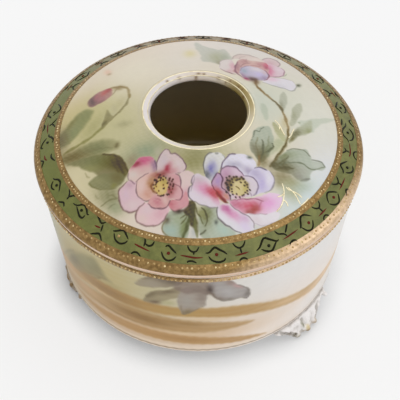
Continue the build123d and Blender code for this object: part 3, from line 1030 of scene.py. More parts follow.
def paint_leaves(p):
    """Leaves, stems, the bud and the small touches between the flowers."""
    # Top leaf behind the far flower, and two touches of colour beside it
    leaf = p.shape(
        "-1.2,46 2.5,41.5 7,38.8 9.5,39.5 10.6,37 12.3,30.8 9.5,29.8 7.8,25.6 4.5,27 1.2,28 0.6,34 "
        "-1.2,40",
        "#b6b7aa", 0.85, 1.2,
    )
    p.wash(6.5, 31.5, 3, "#9c9c78", 0.7, 1.5, 90, leaf)
    p.wash(9.5, 32, 1.6, "#959c86", 0.6, 2, 90, leaf)
    p.wash(7.3, 27, 1.2, "#8e8768", 0.7, 1.8, 90, leaf)
    p.wash(-3.2, 34.5, 2.2, "#d3c68e", 0.8, 1.5, 90)
    p.wash(-33.2, 28.2, 1.3, "#dfae93", 0.6, 1.8, 110)
    p.wash(-32.4, 26.3, 0.8, "#a08a64", 0.8)
    # Bud and its hooked stem
    p.line("-46,-11.6 -42,-9.9 -38.5,-8.5 -35,-6.2 -31.5,-2.8", "#7e7a42", 1.3, 0.85, 0.7, 0.7)
    leaf = p.shape(
        "-33.6,-4 -33.2,-1 -32.2,2 -30.6,4.6 -28.4,6.4 -27.4,5.2 -27.6,2.8 -28.8,0.4 -31,-2.4",
        "#c6c198", 0.6, 0.8,
    )
    p.wash(-31.6, -1.2, 0.9, "#8d8750", 0.6, 2, 55, leaf)
    p.line("-33,-4.3 -29,-0.4 -26.2,2.8 -24.6,6 -24.1,9.5", "#807850", 0.9, 0.85, 0.6, 0.7)
    p.line("-24.1,8 -24.4,11.5 -25.4,14 -27,15.4 -29.5,16.1 -31.5,16", "#927e50", 1.1, 0.85, 0.6, 0.7)
    p.wash(-28.3, 15.1, 1.3, "#7c6534", 0.8, 1.4, -10)
    p.line("-29.2,14.6 -29.6,12.8 -30.6,11.4", "#8f7d5c", 0.7, 0.7, 0.5)
    bud = p.shape(
        "-31,15.6 -32.5,16.3 -35,15.5 -37,14.3 -38.6,12.6 -39.2,10.6 -38.4,8.4 -36.8,7.7 -34.5,8.6 "
        "-32.3,9.8 -30.6,11.8 -30.4,13.8",
        "#ad8078", 1, 0.9,
    )
    p.wash(-37.3, 10.8, 2.4, "#5f4d4b", 0.95, 1.5, 90, bud)
    p.wash(-36.2, 12.6, 0.9, "#b36a70", 0.7, 2, 80, bud)
    p.wash(-34.5, 11, 1.6, "#a87276", 0.9, 1, 0, bud)
    p.wash(-32.1, 15.2, 1.2, "#9e4a48", 0.95, 1.6, 60, bud)
    p.wash(-33.4, 14.2, 1.1, "#b9605a", 0.8, 1.6, 60, bud)
    p.wash(-34, 9.2, 0.8, "#84605f", 0.7, 2, 25, bud)
    # Leaves at the left
    leaf = p.shape(
        "-48.8,-3 -46.6,-0.4 -44.6,3 -41.8,6.4 -39,7 -36.8,5 -37.6,1.5 -39.3,-1.6 -41.4,-4.6 -44,-7.2 "
        "-47,-8.4 -49.4,-7",
        "#868758", 0.9, 1.9,
    )
    p.wash(-44.3, 2, 1.2, "#7a733f", 0.7, 3, 55, leaf)
    p.wash(-40, 3, 2.2, "#7f8354", 0.6, 1.8, 60, leaf)
    p.wash(-36.4, -3.4, 2.6, "#a09b68", 0.6, 2.2, 55)
    p.wash(-43, -3, 2, "#838a60", 0.6, 1.5, 60, leaf)
    p.wash(-47.3, -5, 2.6, "#695d40", 0.8, 2, 90)
    p.line("-46.5,-3 -45,-6 -44,-7.5", "#7a7348", 0.6, 0.6, 0.5)
    leaf = p.shape(
        "-31.8,4.2 -30.5,1.5 -29.2,-0.2 -31,-2 -33.2,-4 -32.8,-1.5 -32.2,1.5",
        "#948b5f", 0.8, 0.6,
    )
    p.wash(-32.3, -2.9, 1.2, "#68603a", 0.9, 1.5, 45, leaf)
    p.wash(-30.6, 1.4, 1.4, "#7b7550", 0.5, 1.8, 70, leaf)
    p.wash(-27.6, 5.4, 1.6, "#b2a87e", 0.5, 2.4, 62)
    p.wash(-25.3, -5, 1.5, "#9b9670", 0.6, 1.8, -5)
    p.line("-30,6 -29,3 -29.4,0.5", "#b0a688", 1.6, 0.35, 1.4)
    leaf = p.shape(
        "-47,-13.5 -43.5,-12.3 -38,-10 -33,-9.7 -29.5,-10.8 -26.6,-13.2 -28.5,-15 -33.5,-15.9 -40,-15.6 "
        "-46,-15.8",
        "#8f8c60", 0.8, 2.4,
    )
    p.wash(-34.5, -13, 3, "#7a7d55", 0.85, 1.8, -10, leaf)
    p.wash(-43, -14, 3, "#6b5d33", 0.9, 2, -5)
    p.wash(-28.7, -13, 1.6, "#a59d76", 0.5, 1.5, -30, leaf)
    p.wash(-27.4, -13.7, 0.8, "#6a603c", 0.85, 1.5, 80)
    p.line("-41,-13.6 -37,-13.2 -33,-13.4 -29,-14", "#75704a", 0.45, 0.5, 0.5)
    leaf = p.shape(
        "-44.5,-16.6 -41,-15.7 -35,-15.6 -31.5,-16 -28,-17.5 -25.3,-20 -24,-22.5 -23.2,-24.6 -24.6,-27 "
        "-27.5,-28 -31,-26.5 -34.5,-22.5 -38,-20.5 -40.5,-18.5",
        "#7d7950", 0.92, 1.2,
    )
    p.wash(-34, -18.6, 3, "#76794e", 0.9, 2, -20, leaf)
    p.wash(-35.5, -20.8, 1.8, "#918f5c", 0.8, 2.5, -15, leaf)
    p.wash(-29.5, -20.8, 3.4, "#65602f", 0.8, 1.6, -45, leaf)
    p.wash(-26.2, -21.5, 2.6, "#4f4117", 0.95, 2, -62, leaf)
    p.wash(-30.5, -23.8, 2, "#8a8060", 0.7, 2.2, -10, leaf)
    p.line(
        "-32,-16.1 -28.8,-17 -26.5,-18.4 -24.9,-20.7 -23.8,-23.2 -23.2,-24.7",
        "#46380f", 0.9, 0.85, 0.5, 0.4,
    )
    p.line("-27.5,-19 -26.3,-21.5 -25.2,-24.3 -24.6,-26", "#3f3310", 0.7, 0.55, 0.7)
    p.line("-29,-19 -27.6,-22 -26,-25", "#413612", 0.5, 0.35, 0.6)
    leaf = p.shape(
        "-36.2,-25.8 -34,-24 -30,-23.8 -26,-24.6 -24.2,-26.6 -25.2,-28.4 -27.5,-29.7 -30,-29.7 -33,-28.8 "
        "-35.8,-27.2",
        "#7c7b54", 0.92, 1,
    )
    p.wash(-33.5, -26, 1.5, "#939066", 0.7, 1.8, -10, leaf)
    p.wash(-26.8, -26.2, 2, "#6b5e36", 0.7, 1.4, -50, leaf)
    p.wash(-27.9, -28.8, 1, "#85803a", 0.85)
    p.line("-36.2,-26 -34.6,-28 -32,-29.2 -29.5,-29.6 -27,-29.9", "#6d6838", 0.5, 0.8, 0.4)
    p.line("-37.8,-21.8 -37,-23.4 -36.2,-24", "#8b845a", 0.5, 0.6, 0.5)
    p.wash(-29.2, -32, 4, "#82805a", 0.88, 1.5, -50)
    p.wash(-27, -36.4, 2.2, "#959a78", 0.8, 1.4, -40)
    p.line("-32,-35 -30,-34 -28.4,-33.5 -26.4,-33.4", "#716d48", 0.55, 0.8, 0.45)
    p.line("-29.8,-31.6 -28,-32.2 -26.6,-33.2", "#7a7550", 0.45, 0.7, 0.4)
    p.line("-34,-30.6 -33.2,-31.8 -32.4,-32.7", "#8b8660", 0.45, 0.6, 0.4)
    p.line("-29.4,-36.3 -28.2,-35.3 -27,-35", "#7a7858", 0.5, 0.6, 0.4)
    # Pale leaves above the near flowers
    p.wash(-17.5, -18, 3, "#8b977c", 0.8, 1.5, 0)
    p.wash(-13.3, -18.8, 1.2, "#b4ae98", 0.8, 1.5, 90)
    p.wash(-22, -20.6, 1.6, "#95836a", 0.6, 1.6, 60)
    # Leaves and stems between the near flowers
    leaf = p.shape(
        "-9,-39.6 -11,-41.7 -11.7,-43.8 -11.3,-46.2 -9.5,-47.8 -4,-48.2 -3,-45.5 -2.8,-41 -5,-39.2",
        "#a0a892", 0.95, 0.6,
    )
    p.wash(-9, -45.6, 2, "#a0b3a8", 0.9, 1.6, 0, leaf)
    p.wash(-4.8, -44.8, 1.2, "#77804f", 0.9, 2.4, 80, leaf)
    p.wash(-6.5, -42, 1.6, "#97a07e", 0.5, 1.6, 60, leaf)
    p.wash(-10.1, -42.4, 0.8, "#5b5140", 0.85, 1.5, 50)
    p.line("-10.3,-42.2 -11.3,-43.5 -11.6,-45 -11,-46.3 -9.6,-47.5", "#7a6642", 0.5, 0.7, 0.4)
    leaf = p.shape(
        "3,-38.6 6,-38.8 6.2,-41.5 8.5,-44 12,-46 10,-47.8 4,-48.2 1,-48 0,-44 0.4,-40",
        "#a8b09c", 0.92, 0.8,
    )
    p.wash(8, -45.4, 1.8, "#a8bdb2", 0.8, 1.6, -20, leaf)
    p.wash(1.2, -46.5, 2, "#9a9f88", 0.6, 1, 0, leaf)
    p.wash(2.6, -41, 2, "#6a6c42", 0.85, 1.8, 85)
    p.wash(1, -40.4, 1.4, "#85834f", 0.8, 1.6, -50)
    p.wash(-1.7, -46.5, 1.2, "#b3b3ae", 0.9, 1.4, 90)
    p.shape(
        "-3.4,-36.6 -1.6,-36.3 -1.1,-38 -1.1,-41 -0.8,-44 -2.4,-44.4 -3.2,-42 -4.8,-39.9 -3.8,-38.4",
        "#463b1b", 0.95, 0.9,
    )
    p.line("-1.6,-38 -1.4,-42 -0.6,-46", "#4d4a22", 1.8, 0.8, 0.8, 0.7)
    p.line("-2.9,-41 -3.4,-43.8 -4.4,-46.6 -5,-48", "#474a24", 1.1, 0.8, 0.6, 0.6)
    p.line("-1.3,-42 -0.9,-45 -0.4,-47.8", "#6e6f42", 0.9, 0.8, 0.5, 0.5)
    p.line("-5.8,-41.9 -4.6,-41.1 -3,-40.8", "#46401c", 0.5, 0.85, 0.35)
    p.line("-5.6,-43.6 -4.6,-42.8 -3.8,-41.4", "#4c4a26", 0.45, 0.8, 0.35)
    p.line("0.2,-40.6 0.8,-42.4 1.4,-43.8", "#55552f", 0.45, 0.75, 0.35)
    p.line("-0.8,-38.6 -0.3,-40.4 0.4,-41.3 1.1,-42", "#55512c", 0.4, 0.8, 0.35)
    p.line("0.8,-38.6 2,-39.8 2.8,-41.6 2.8,-43 2.1,-44.5", "#4b4828", 0.55, 0.9, 0.35)
    p.line("2.5,-45.8 1.6,-46.5 0.4,-47.1", "#4f4f38", 0.6, 0.9, 0.35)
    p.wash(5.8, -43.1, 0.55, "#565a52", 0.9, 1.5, 80)
    # Stem of the far flower and the leaves along it
    leaf = p.shape("29,2.6 28.2,6 28.3,9.5 29.8,13.2 31,11 30.8,7 29.8,4", "#a9ab97", 0.8, 0.8)
    p.wash(28.7, 5.5, 0.9, "#85836a", 0.6, 2, 90, leaf)
    leaf = p.shape(
        "31.2,-3.5 32,1 32.6,5 34,7.6 35.8,8.9 36.3,6.5 35.4,3 34,-0.5 32.6,-3.5",
        "#a8aa92", 0.75, 0.9,
    )
    p.wash(33, 1.6, 1, "#96977a", 0.6, 2.5, 85, leaf)
    p.shape("34,-1.6 37.5,1 42,3.6 47.8,6 46,3.5 43,1.2 40.5,-2 38.7,-4.6", "#bcc2b0", 0.8, 0.9)
    leaf = p.shape(
        "30.6,-11.6 31.6,-7.8 33.5,-4.6 36,-1.8 38.9,1.3 39.2,-1.6 38.6,-4.2 36.5,-6.3 34,-8 32.2,-10",
        "#adb096", 0.8, 1.1,
    )
    p.wash(33, -6.8, 1.6, "#6c694a", 0.85, 1.7, 50, leaf)
    p.wash(31.4, -10, 1, "#6b6136", 0.85, 2, 60, leaf)
    p.wash(38, -4.4, 1.5, "#8d9064", 0.7, 1.6, 40, leaf)
    p.line("35,-1.2 34.6,-1.6 34.2,-1.6", "#8a8c6a", 0.5, 0.5)
    p.shape("21.4,3.8 23.2,3.6 23.8,0 23.5,-3.4 22.6,-3.6 21.7,-1 21.3,1.5", "#b0b8a4", 0.7, 0.9)
    p.shape("25.4,-4.2 26.6,-4.6 28.2,-7 29.4,-9.5 29.6,-12 27.8,-11 26,-8.4 25.2,-6", "#a4a379", 0.8, 0.9)
    p.wash(29.4, -3.6, 1.6, "#c2b48a", 0.7, 2, 85)
    p.wash(27.5, -13, 2, "#b9bc94", 0.8, 2.4, 75)
    p.shape(
        "20.6,-21.8 22.6,-19.8 24.8,-17.6 26.6,-15.2 28.4,-12.6 27.4,-11 25.2,-12.4 24.2,-15.4 22,-19",
        "#adb192", 0.7, 1,
    )
    leaf = p.shape(
        "17,-16.5 17.9,-12.5 18.7,-9.6 20.6,-7.6 23.5,-6.4 25,-9 25.2,-13 24,-17 22.4,-20 20.6,-21.8 "
        "18.9,-19.8",
        "#a6ae9c", 0.88, 0.7,
    )
    p.wash(20.8, -19.2, 2.2, "#5f5630", 0.92, 1.6, 90, leaf)
    p.wash(18.4, -16.6, 1.6, "#78735a", 0.75, 1.6, 110, leaf)
    p.wash(23.4, -16, 1.6, "#757a58", 0.7, 2, 65, leaf)
    p.line("21.3,-12.8 21.6,-15.4 21.3,-17.9 20.6,-21", "#565840", 0.8, 0.8, 0.5)
    p.line("21.3,-17.9 23.1,-17.1 24.2,-15.8 25,-14.6", "#55583c", 0.6, 0.8, 0.4)
    p.dots("25,-14.5 24.9,-13.7 23.4,-17", "#565a42", 0.4, 0.8)
    p.wash(21.6, -21.4, 1.5, "#786e48", 0.8, 1.6, 60)
    p.line("25.1,-14.4 24.7,-15.5 23.6,-16.9 22.2,-18.4", "#6c6f52", 0.5, 0.7, 0.4)
    p.line(
        "17.6,-13.8 18.1,-12.2 18.6,-11.2 19,-9.6 20.4,-9.4 20.9,-8.4 22.2,-7.2",
        "#666c5a", 0.45, 0.8, 0.3,
    )
    p.line("20.6,-20.2 19.6,-17.6 19.2,-14.6 19.8,-12", "#6a6442", 0.5, 0.6, 0.5)
    p.line("21.4,-20 22.4,-16.6 23.4,-13.4 23.6,-10.6", "#6e7050", 0.45, 0.55, 0.5)
    p.line("20.3,-19 20,-21 19.9,-23", "#86683c", 0.9, 0.7, 0.6)
    leaf = p.shape(
        "24,-22.3 27,-18 30,-15 33,-13.8 36.5,-12.9 37.8,-15.4 38.3,-17 40.5,-16.6 42.5,-17.8 41.5,-19.7 "
        "38.6,-20.4 37.3,-22.5 36.6,-24.8 33.8,-25.9 30.6,-24 27,-24",
        "#a8b09f", 0.9, 0.7,
    )
    p.wash(31, -16.5, 1.6, "#8f9778", 0.6, 2, 25, leaf)
    p.wash(34.5, -22, 2.2, "#a9a99c", 0.8, 1.3, 0, leaf)
    p.wash(40, -18.3, 1.5, "#bcc0b4", 0.8, 1.4, 0, leaf)
    p.wash(28, -22, 2.8, "#57512e", 0.88, 1.5, 10, leaf)
    p.wash(28.4, -17.6, 1.2, "#6f7248", 0.7, 1.8, 50, leaf)
    p.wash(33.4, -24.6, 1.4, "#8a857e", 0.7, 1.5, -20, leaf)
    p.line(
        "27,-21.4 29.1,-20.1 32.1,-19.2 34.7,-18.9 36,-19.7 37.2,-20.3 40.1,-19.6 42.5,-17.8",
        "#6a7058", 0.55, 0.85, 0.4,
    )
    p.line("29.7,-15.1 31.5,-14 33.5,-13.5 35.7,-13.5 37.4,-15.1", "#6a705a", 0.5, 0.8, 0.35)
    p.line("26,-21.6 28,-19.6 29.4,-18.4 30,-17.2", "#565534", 0.6, 0.7, 0.5)
    p.line("26.6,-22.6 29.5,-21.6 31.6,-21.8", "#4e4a2c", 0.6, 0.7, 0.4)
    p.line("36.9,-14 37.3,-14.8 37.6,-15.3", "#7f8472", 0.6, 0.7, 0.4)
    p.line("38.1,-16.7 40,-16.2 41.6,-16.6 42.5,-17.8", "#666c5a", 0.6, 0.85, 0.4)
    p.line("36.9,-24 35.4,-24.9 33.8,-25.9", "#6f6e64", 0.8, 0.8, 0.5)
    p.line("26,-22.8 28,-22.6 30.2,-22.1", "#4b4628", 0.7, 0.7, 0.5)
    p.line("29.3,-19 28.4,-20.2 27.6,-21.4", "#5b5836", 0.5, 0.7, 0.4)
    p.wash(27.6, -25.4, 2.4, "#857a56", 0.85, 1.8, 0)
    p.wash(26.6, -27.7, 1.3, "#877c5a", 0.7, 1.5, 60)
    p.wash(34, -28, 2.4, "#aab6a6", 0.8, 1.8, 25)
    p.wash(30, -30.5, 2.6, "#a0a27e", 0.7, 1.5, -50)
    p.wash(30.5, -27, 1.8, "#8e8c5e", 0.55, 1.8, 10)
    p.line(
        "20,17 20.1,15 20.9,12.7 22.4,10.6 24.3,8.6 26.6,6.3 28.4,3.9 29.2,1.5 29.9,-1.5 30.5,-5 "
        "30.4,-8.5",
        "#8a7449", 1.0, 0.9, 0.5, 0.8,
    )
    p.line("25.5,7.3 27,5.8 28.6,3.4 29.1,2", "#5f5b40", 1.0, 0.75, 0.6)
    p.line("20.5,13.8 21.6,11.6 23,10", "#7a5f2e", 1.1, 0.7, 0.6)
    p.line(
        "30.5,-6 30.2,-9.5 29.4,-12.5 28.2,-15.2 26.4,-18.2 24.6,-21.2 23.6,-22.6",
        "#6d6038", 0.9, 0.9, 0.5, 0.7,
    )
    p.line("29.6,-11.6 28.7,-14 27,-16.8 25.2,-19.6", "#51471f", 0.5, 0.7, 0.4)
    p.wash(24.9, -21.8, 1.2, "#575030", 0.9, 1.5, 45)


def paint_far_flower(p):
    """Half-turned anemone behind the hole, at the right."""
    rim = "#8d7478"
    petal = p.shape("12.6,20 13,24 12.6,28 11.8,30.3 9.6,30 8,28.4 7.5,25 7.7,22.4 9.6,20.6", "#d3c8c4")
    p.wash(12.3, 25, 1.2, "#cf9ca6", 0.9, 3, 90, petal)
    p.wash(11, 21, 1.4, "#c99fa3", 0.7, 1, 0, petal)
    p.line("7.7,22.2 9.5,20.7 11.4,19.6 13.2,19.3", "#876468", 0.6, 0.8)
    p.line("7.5,24 7.7,27 8.6,29.2 10.4,30.2 12,30", rim, 0.35, 0.4)
    petal = p.shape(
        "16,31.5 14,31.8 12.2,31.2 12.6,33 14.2,35.3 17,36.4 20,35.8 22.6,34.4 24.6,32.6 22,31.6",
        "#cbb8b0",
    )
    p.wash(20.5, 33, 2, "#dacbc0", 0.9, 2, 0, petal)
    p.line("12.2,31 12.9,33.3 14.6,35.6 17.2,36.4 20,35.7 21.8,34.8", "#97857f", 0.6, 0.7, 0.5)
    p.line("14.9,31.6 15.4,33.4 16.8,34.6", "#a8918c", 0.5, 0.55, 0.5)
    petal = p.shape("25,31 23.6,33.6 24.6,35.6 26.8,36.5 29,35.6 29.9,33.4 29.6,31 28,30.4", "#ccb4b4")
    p.wash(26.4, 32, 1.6, "#c294a0", 0.6, 1.4, 90, petal)
    p.line(
        "23.3,33.6 24.3,35.4 26.6,36.5 28.7,35.7 29.8,33.6 29.6,31.4 28.8,30.4",
        "#80696c", 0.55, 0.75, 0.4,
    )
    petal = p.shape(
        "25.4,31 28.5,30.6 30.6,29.6 31.3,27.5 30.9,25.2 29.8,23.4 27.6,22 25.2,21.8 24.6,26",
        "#d2b9c2",
    )
    p.wash(25.7, 26, 1.5, "#c86f8c", 0.95, 3, 90, petal)
    p.wash(29.5, 28, 1.4, "#d6c4cc", 0.7, 1, 0, petal)
    p.line("30.2,30 31.2,28 31.1,26.4 30.5,24.6 29.2,23 27.2,22 25.4,21.4", "#8c6472", 0.5, 0.8)
    p.line("32,26.2 31.5,24.9 30.4,23.8", "#8a9272", 0.5, 0.7)
    cup = p.shape(
        "13,20.5 13,24 13.6,27.5 14.4,30.6 16.5,31.9 19.5,31.4 22,31.8 24.5,31.6 25.4,29 25.2,24 24.6,20",
        "#c39c98",
    )
    p.wash(20, 31, 1.2, "#d2b6a8", 0.8, 2.4, 0, cup)
    p.wash(16.8, 29.8, 1.6, "#a67474", 0.8, 1.3, 70, cup)
    p.wash(22.2, 29.4, 1.5, "#b0787a", 0.8, 1.4, 90, cup)
    p.wash(24.8, 30, 1.4, "#c04664", 0.8, 1.6, 90, cup)
    p.wash(24.5, 27.8, 0.9, "#9b3c56", 0.8, 1.5, 90)
    p.wash(14, 25, 1, "#9c6c74", 0.7, 3, 90, cup)
    p.wash(19, 28.4, 1.6, "#cda79c", 0.6, 1.6, 0, cup)
    p.line("15,25.2 15.8,27.2 17.2,28.6 18.8,29.2", "#8d5f62", 0.5, 0.6, 0.4)
    p.line("18.6,27 19.8,28 21.4,27.6 22.6,28.4", "#9a6566", 0.5, 0.6, 0.4)
    p.line("17.6,32.4 17.2,30.4 17.8,29", "#9f7876", 0.4, 0.6, 0.4)
    petal = p.shape(
        "24.2,19.4 25.5,20.8 28,21.6 31,22 33.4,21.9 34.6,20.4 34.6,18 33.6,15.9 31,15.2 28,15.9 "
        "24.8,16.4 22.8,17.4",
        "#d8d3da",
    )
    p.wash(26, 20, 1.6, "#d9b2c2", 0.8, 1.6, 20, petal)
    p.wash(28.5, 16.6, 1.4, "#c4bfc6", 0.6, 2, 0, petal)
    p.line(
        "22.8,16.6 25.2,16.2 27.6,15.6 30,15.7 32,15.1 34,15.9 34.7,17.8 35.3,19.4",
        "#8c8c88", 0.5, 0.75, 0.4,
    )
    p.line("25.6,20.9 28.4,21.8 31.4,22.2 33.6,22 34.5,20.8", "#9b8a92", 0.35, 0.5)
    p.wash(35.9, 20, 0.75, "#474a34", 0.95, 1.5, 60)
    ball = p.shape(
        "14.6,22.4 15.3,24.8 17,26.4 19.4,26.8 22,26.2 24,24.8 24.9,22.6 24.6,20.4 23.4,18.6 21.4,17.4 "
        "18.6,17 16.4,17.6 15,19.6",
        "#bab2c8",
    )
    p.wash(21, 25, 1.8, "#d6cccc", 0.9, 1.6, -10, ball)
    p.wash(16.2, 22.6, 1.4, "#96a0ae", 0.9, 1.5, 90, ball)
    p.wash(21.8, 21.6, 1.6, "#bdb2d6", 0.9, 1.3, 90, ball)
    p.wash(23.4, 19.6, 1.3, "#8d7690", 0.7, 1.4, 45, ball)
    p.wash(15.8, 19, 1.3, "#8f6a80", 0.7, 1.6, -50, ball)
    p.wash(23.6, 23.6, 0.9, "#cbb0b4", 0.8, 1.5, 90, ball)
    p.line("14.2,29 13.3,25.6 13,22.4 13.8,20 15.2,18.2 16.9,16.9", "#78485a", 0.75, 0.8, 0.5)
    p.line("24,25.4 24.9,23.2 25.1,21 24.3,19.2 23.2,18.2", "#74445a", 0.6, 0.85, 0.4)
    p.line("14.8,22.2 15.6,24.8 17,26.3 18.2,26.8", "#86677a", 0.45, 0.7, 0.4)
    p.wash(16.9, 17.1, 0.8, "#9b2a56", 0.85, 1.4, -30)
    p.wash(19.4, 17.6, 1.4, "#43231a", 0.95, 1.3, 0)
    p.wash(20.2, 16, 1, "#6b4c28", 0.9, 1.6, 90)


def paint_left_flower(p):
    """Pink anemone at the left of the pair in front."""
    rim = "#745a62"
    petal = p.shape(
        "-23,-24.4 -21.3,-22 -19.8,-20.3 -17.5,-19.9 -15.6,-20.5 -14.2,-22 -13.7,-24.5 -14.4,-26.6 "
        "-17,-27 -19.4,-27.8 -20.6,-29 -22.4,-28.2 -23.1,-26.5",
        "#d4bab2",
    )
    p.wash(-17.8, -21.2, 2.4, "#c05a7c", 0.95, 1.7, 5, petal)
    p.wash(-20.5, -22.4, 1, "#8e3040", 0.95, 1.5, 20, petal)
    p.wash(-14.6, -24, 1, "#8f7088", 0.85, 2.2, 100, petal)
    p.wash(-18, -25.2, 1.6, "#c9a5a2", 0.7, 1.5, 0, petal)
    p.wash(-21.6, -26, 1.2, "#cfc3bb", 0.8, 1.3, 0, petal)
    p.line("-23.1,-25 -23.2,-26.6 -22.5,-28.1 -21,-29.2", rim, 0.4, 0.6)
    p.line("-14.4,-21.8 -13.8,-23.6 -13.7,-25.6", "#655068", 0.7, 0.8, 0.4)
    p.line("-20.6,-28.9 -19.2,-27.6 -17.4,-26.6 -16.3,-26", "#7a5a60", 0.4, 0.75)
    petal = p.shape(
        "-13.4,-26.8 -13.6,-23.6 -13.1,-20.8 -11.9,-19 -10.8,-18.2 -9.7,-18.8 -8.8,-20 -7,-20.4 "
        "-5.2,-22.3 -4.1,-25 -4.5,-26.6 -7,-27.4 -10,-28",
        "#d1bbba",
    )
    p.wash(-11.5, -22.4, 1.8, "#c2b4ba", 0.7, 1.6, 80, petal)
    p.wash(-6.3, -24.3, 1.5, "#d1c3c3", 0.7, 1.5, 120, petal)
    p.wash(-9, -26.2, 1.6, "#b9787e", 0.7, 1.5, 0, petal)
    p.wash(-10.3, -25.2, 1, "#9e3a48", 0.95, 1.9, 62, petal)
    p.line("-13.7,-24.6 -13.3,-21.4 -12.2,-19.5 -11,-18.3", rim, 0.5, 0.75)
    p.line(
        "-11.2,-18.2 -9.9,-18.6 -8.9,-19.9 -7.6,-20.1 -6,-21.2 -4.7,-23.2 -4.1,-25.2 -4.9,-26.5 "
        "-6.8,-27.1",
        rim, 0.45, 0.85,
    )
    petal = p.shape(
        "-6,-27 -4,-26.4 -1.8,-26.9 -1.2,-28.4 -2.2,-30 -2.8,-32.4 -3.4,-34 -3,-36 -4.6,-37 -6.5,-35 "
        "-6.8,-30",
        "#d5bebb",
    )
    p.wash(-4.2, -34, 1.5, "#cb98a4", 0.8, 1.4, 70, petal)
    petal = p.shape(
        "-9.8,-36 -7.6,-36 -5.2,-35.2 -4.2,-33.4 -3.2,-35.4 -3.4,-37.6 -4.9,-38.9 -7,-39.6 -8.9,-39 "
        "-9.9,-37.6",
        "#cc9297",
    )
    p.wash(-8.8, -37.2, 1.2, "#b86a72", 0.8, 1.5, -50, petal)
    p.wash(-5, -37.4, 1.2, "#c59299", 0.7, 1.4, 20, petal)
    p.line("-9,-39 -7.4,-39.7 -5.2,-39.6 -3.6,-38.4 -3.1,-37", "#6d5450", 0.5, 0.8, 0.5)
    p.wash(-6.3, -39.9, 0.7, "#3d3028", 0.85, 2.2, 10)
    petal = p.shape(
        "-9.8,-27.8 -8,-27.3 -6.6,-27.7 -5.7,-29.4 -5.7,-31.2 -5.1,-33.2 -5.2,-35 -6.3,-36 -8.2,-35.8 "
        "-9.8,-35 -10,-31",
        "#cfa1a2",
    )
    p.wash(-7, -28.8, 1.2, "#c28e94", 0.7, 1.3, -60, petal)
    p.wash(-6.6, -34, 1.3, "#cfa2a4", 0.8, 1.3, 60, petal)
    p.line("-7.6,-27.3 -6.3,-28 -5.7,-29.6 -5.7,-31 -6,-31.9", rim, 0.45, 0.85)
    p.line("-7.8,-30.6 -6.4,-31.6 -5.4,-33 -5.1,-34.6 -5.9,-35.8 -7.4,-36", "#7a4f5a", 0.45, 0.85)
    petal = p.shape(
        "-20.4,-29 -21.6,-28.3 -23.2,-28.1 -24.7,-29.4 -26.1,-31.2 -25.9,-33.2 -25.1,-36 -24,-37.8 "
        "-22,-38.5 -20,-38.3 -18,-36.6 -17.8,-35.2 -19.8,-33.4",
        "#d5b4bb",
    )
    p.wash(-21.3, -36.4, 1.8, "#d4c0bf", 0.8, 1.5, 10, petal)
    p.wash(-23.8, -32.6, 1.6, "#cdb4c0", 0.7, 1.5, 80, petal)
    p.wash(-22.6, -29.5, 1.2, "#bd9aa6", 0.7, 1.3, 0, petal)
    p.line("-22.3,-27.9 -21.5,-28.6 -20.7,-29.4", rim, 0.4, 0.7)
    p.line(
        "-23.4,-28 -25.2,-29.6 -26.2,-31.3 -25.9,-33.6 -25.2,-36 -24.2,-37.8 -22.2,-38.6 -20.2,-38.5 "
        "-18.6,-37.2 -17.4,-36.1",
        "#6f524f", 0.55, 0.85, 0.45,
    )
    petal = p.shape(
        "-20.3,-29 -19,-27.8 -16.8,-26.5 -15,-26.2 -13.5,-27 -13.4,-30 -13.6,-34 -15,-35.2 -16.6,-35.5 "
        "-18.4,-35 -19.8,-33.2 -20.4,-31",
        "#d7b5ac",
    )
    p.wash(-15.4, -27.2, 1.5, "#cda196", 0.8, 1.3, 20, petal)
    p.wash(-16.4, -33.4, 1.8, "#c4917f", 0.8, 1.4, -40, petal)
    p.wash(-18.8, -30.6, 1.3, "#d6bcb6", 0.7, 1.6, 90, petal)
    p.line(
        "-20,-28.6 -20.4,-30.4 -20.2,-32.2 -19.3,-34 -18,-35.2 -16.4,-35.6 -14.8,-35.2 -14,-34.6",
        "#7e6368", 0.45, 0.85,
    )
    petal = p.shape(
        "-17.4,-36 -19.4,-37.8 -20.3,-39.6 -19.9,-41.6 -18.3,-43 -15.6,-43.7 -13,-43.6 -11,-42.2 "
        "-9.7,-40 -9.6,-38 -13,-38.2 -16,-36.6",
        "#dab8bc",
    )
    p.wash(-18.4, -41.2, 1.5, "#d6c2b8", 0.7, 1.4, -40, petal)
    p.wash(-12, -40, 1.7, "#d0a3ac", 0.8, 1.5, 25, petal)
    p.wash(-16.6, -38.6, 1.5, "#d3bfc2", 0.7, 1.4, 0, petal)
    p.line(
        "-17.6,-36.2 -19.4,-37.9 -20.3,-39.6 -19.8,-41.8 -18.2,-43.1 -15.6,-43.8 -13,-43.6 -11.1,-42.3 "
        "-9.9,-40.3",
        "#735753", 0.5, 0.85, 0.4,
    )
    petal = p.shape(
        "-14.4,-34 -11.5,-33.8 -10,-34.6 -9.2,-36.2 -9.8,-37.6 -11.4,-38.5 -13.4,-38.4 -15.4,-37.6 "
        "-16.5,-36.4 -15.6,-35.2",
        "#cfa09e",
    )
    p.wash(-13, -36.4, 1.4, "#bb7880", 0.85, 1.6, -20, petal)
    p.wash(-10.7, -35.7, 1.1, "#d5bab0", 0.85, 1.4, 100, petal)
    p.line("-16.5,-36.5 -15.2,-37.8 -13,-38.5 -11,-38.4 -9.6,-37.3 -9.2,-36", "#6d4d54", 0.5, 0.85)
    p.line("-14,-35 -12.8,-35.3 -12,-36", "#a0646c", 0.35, 0.6)
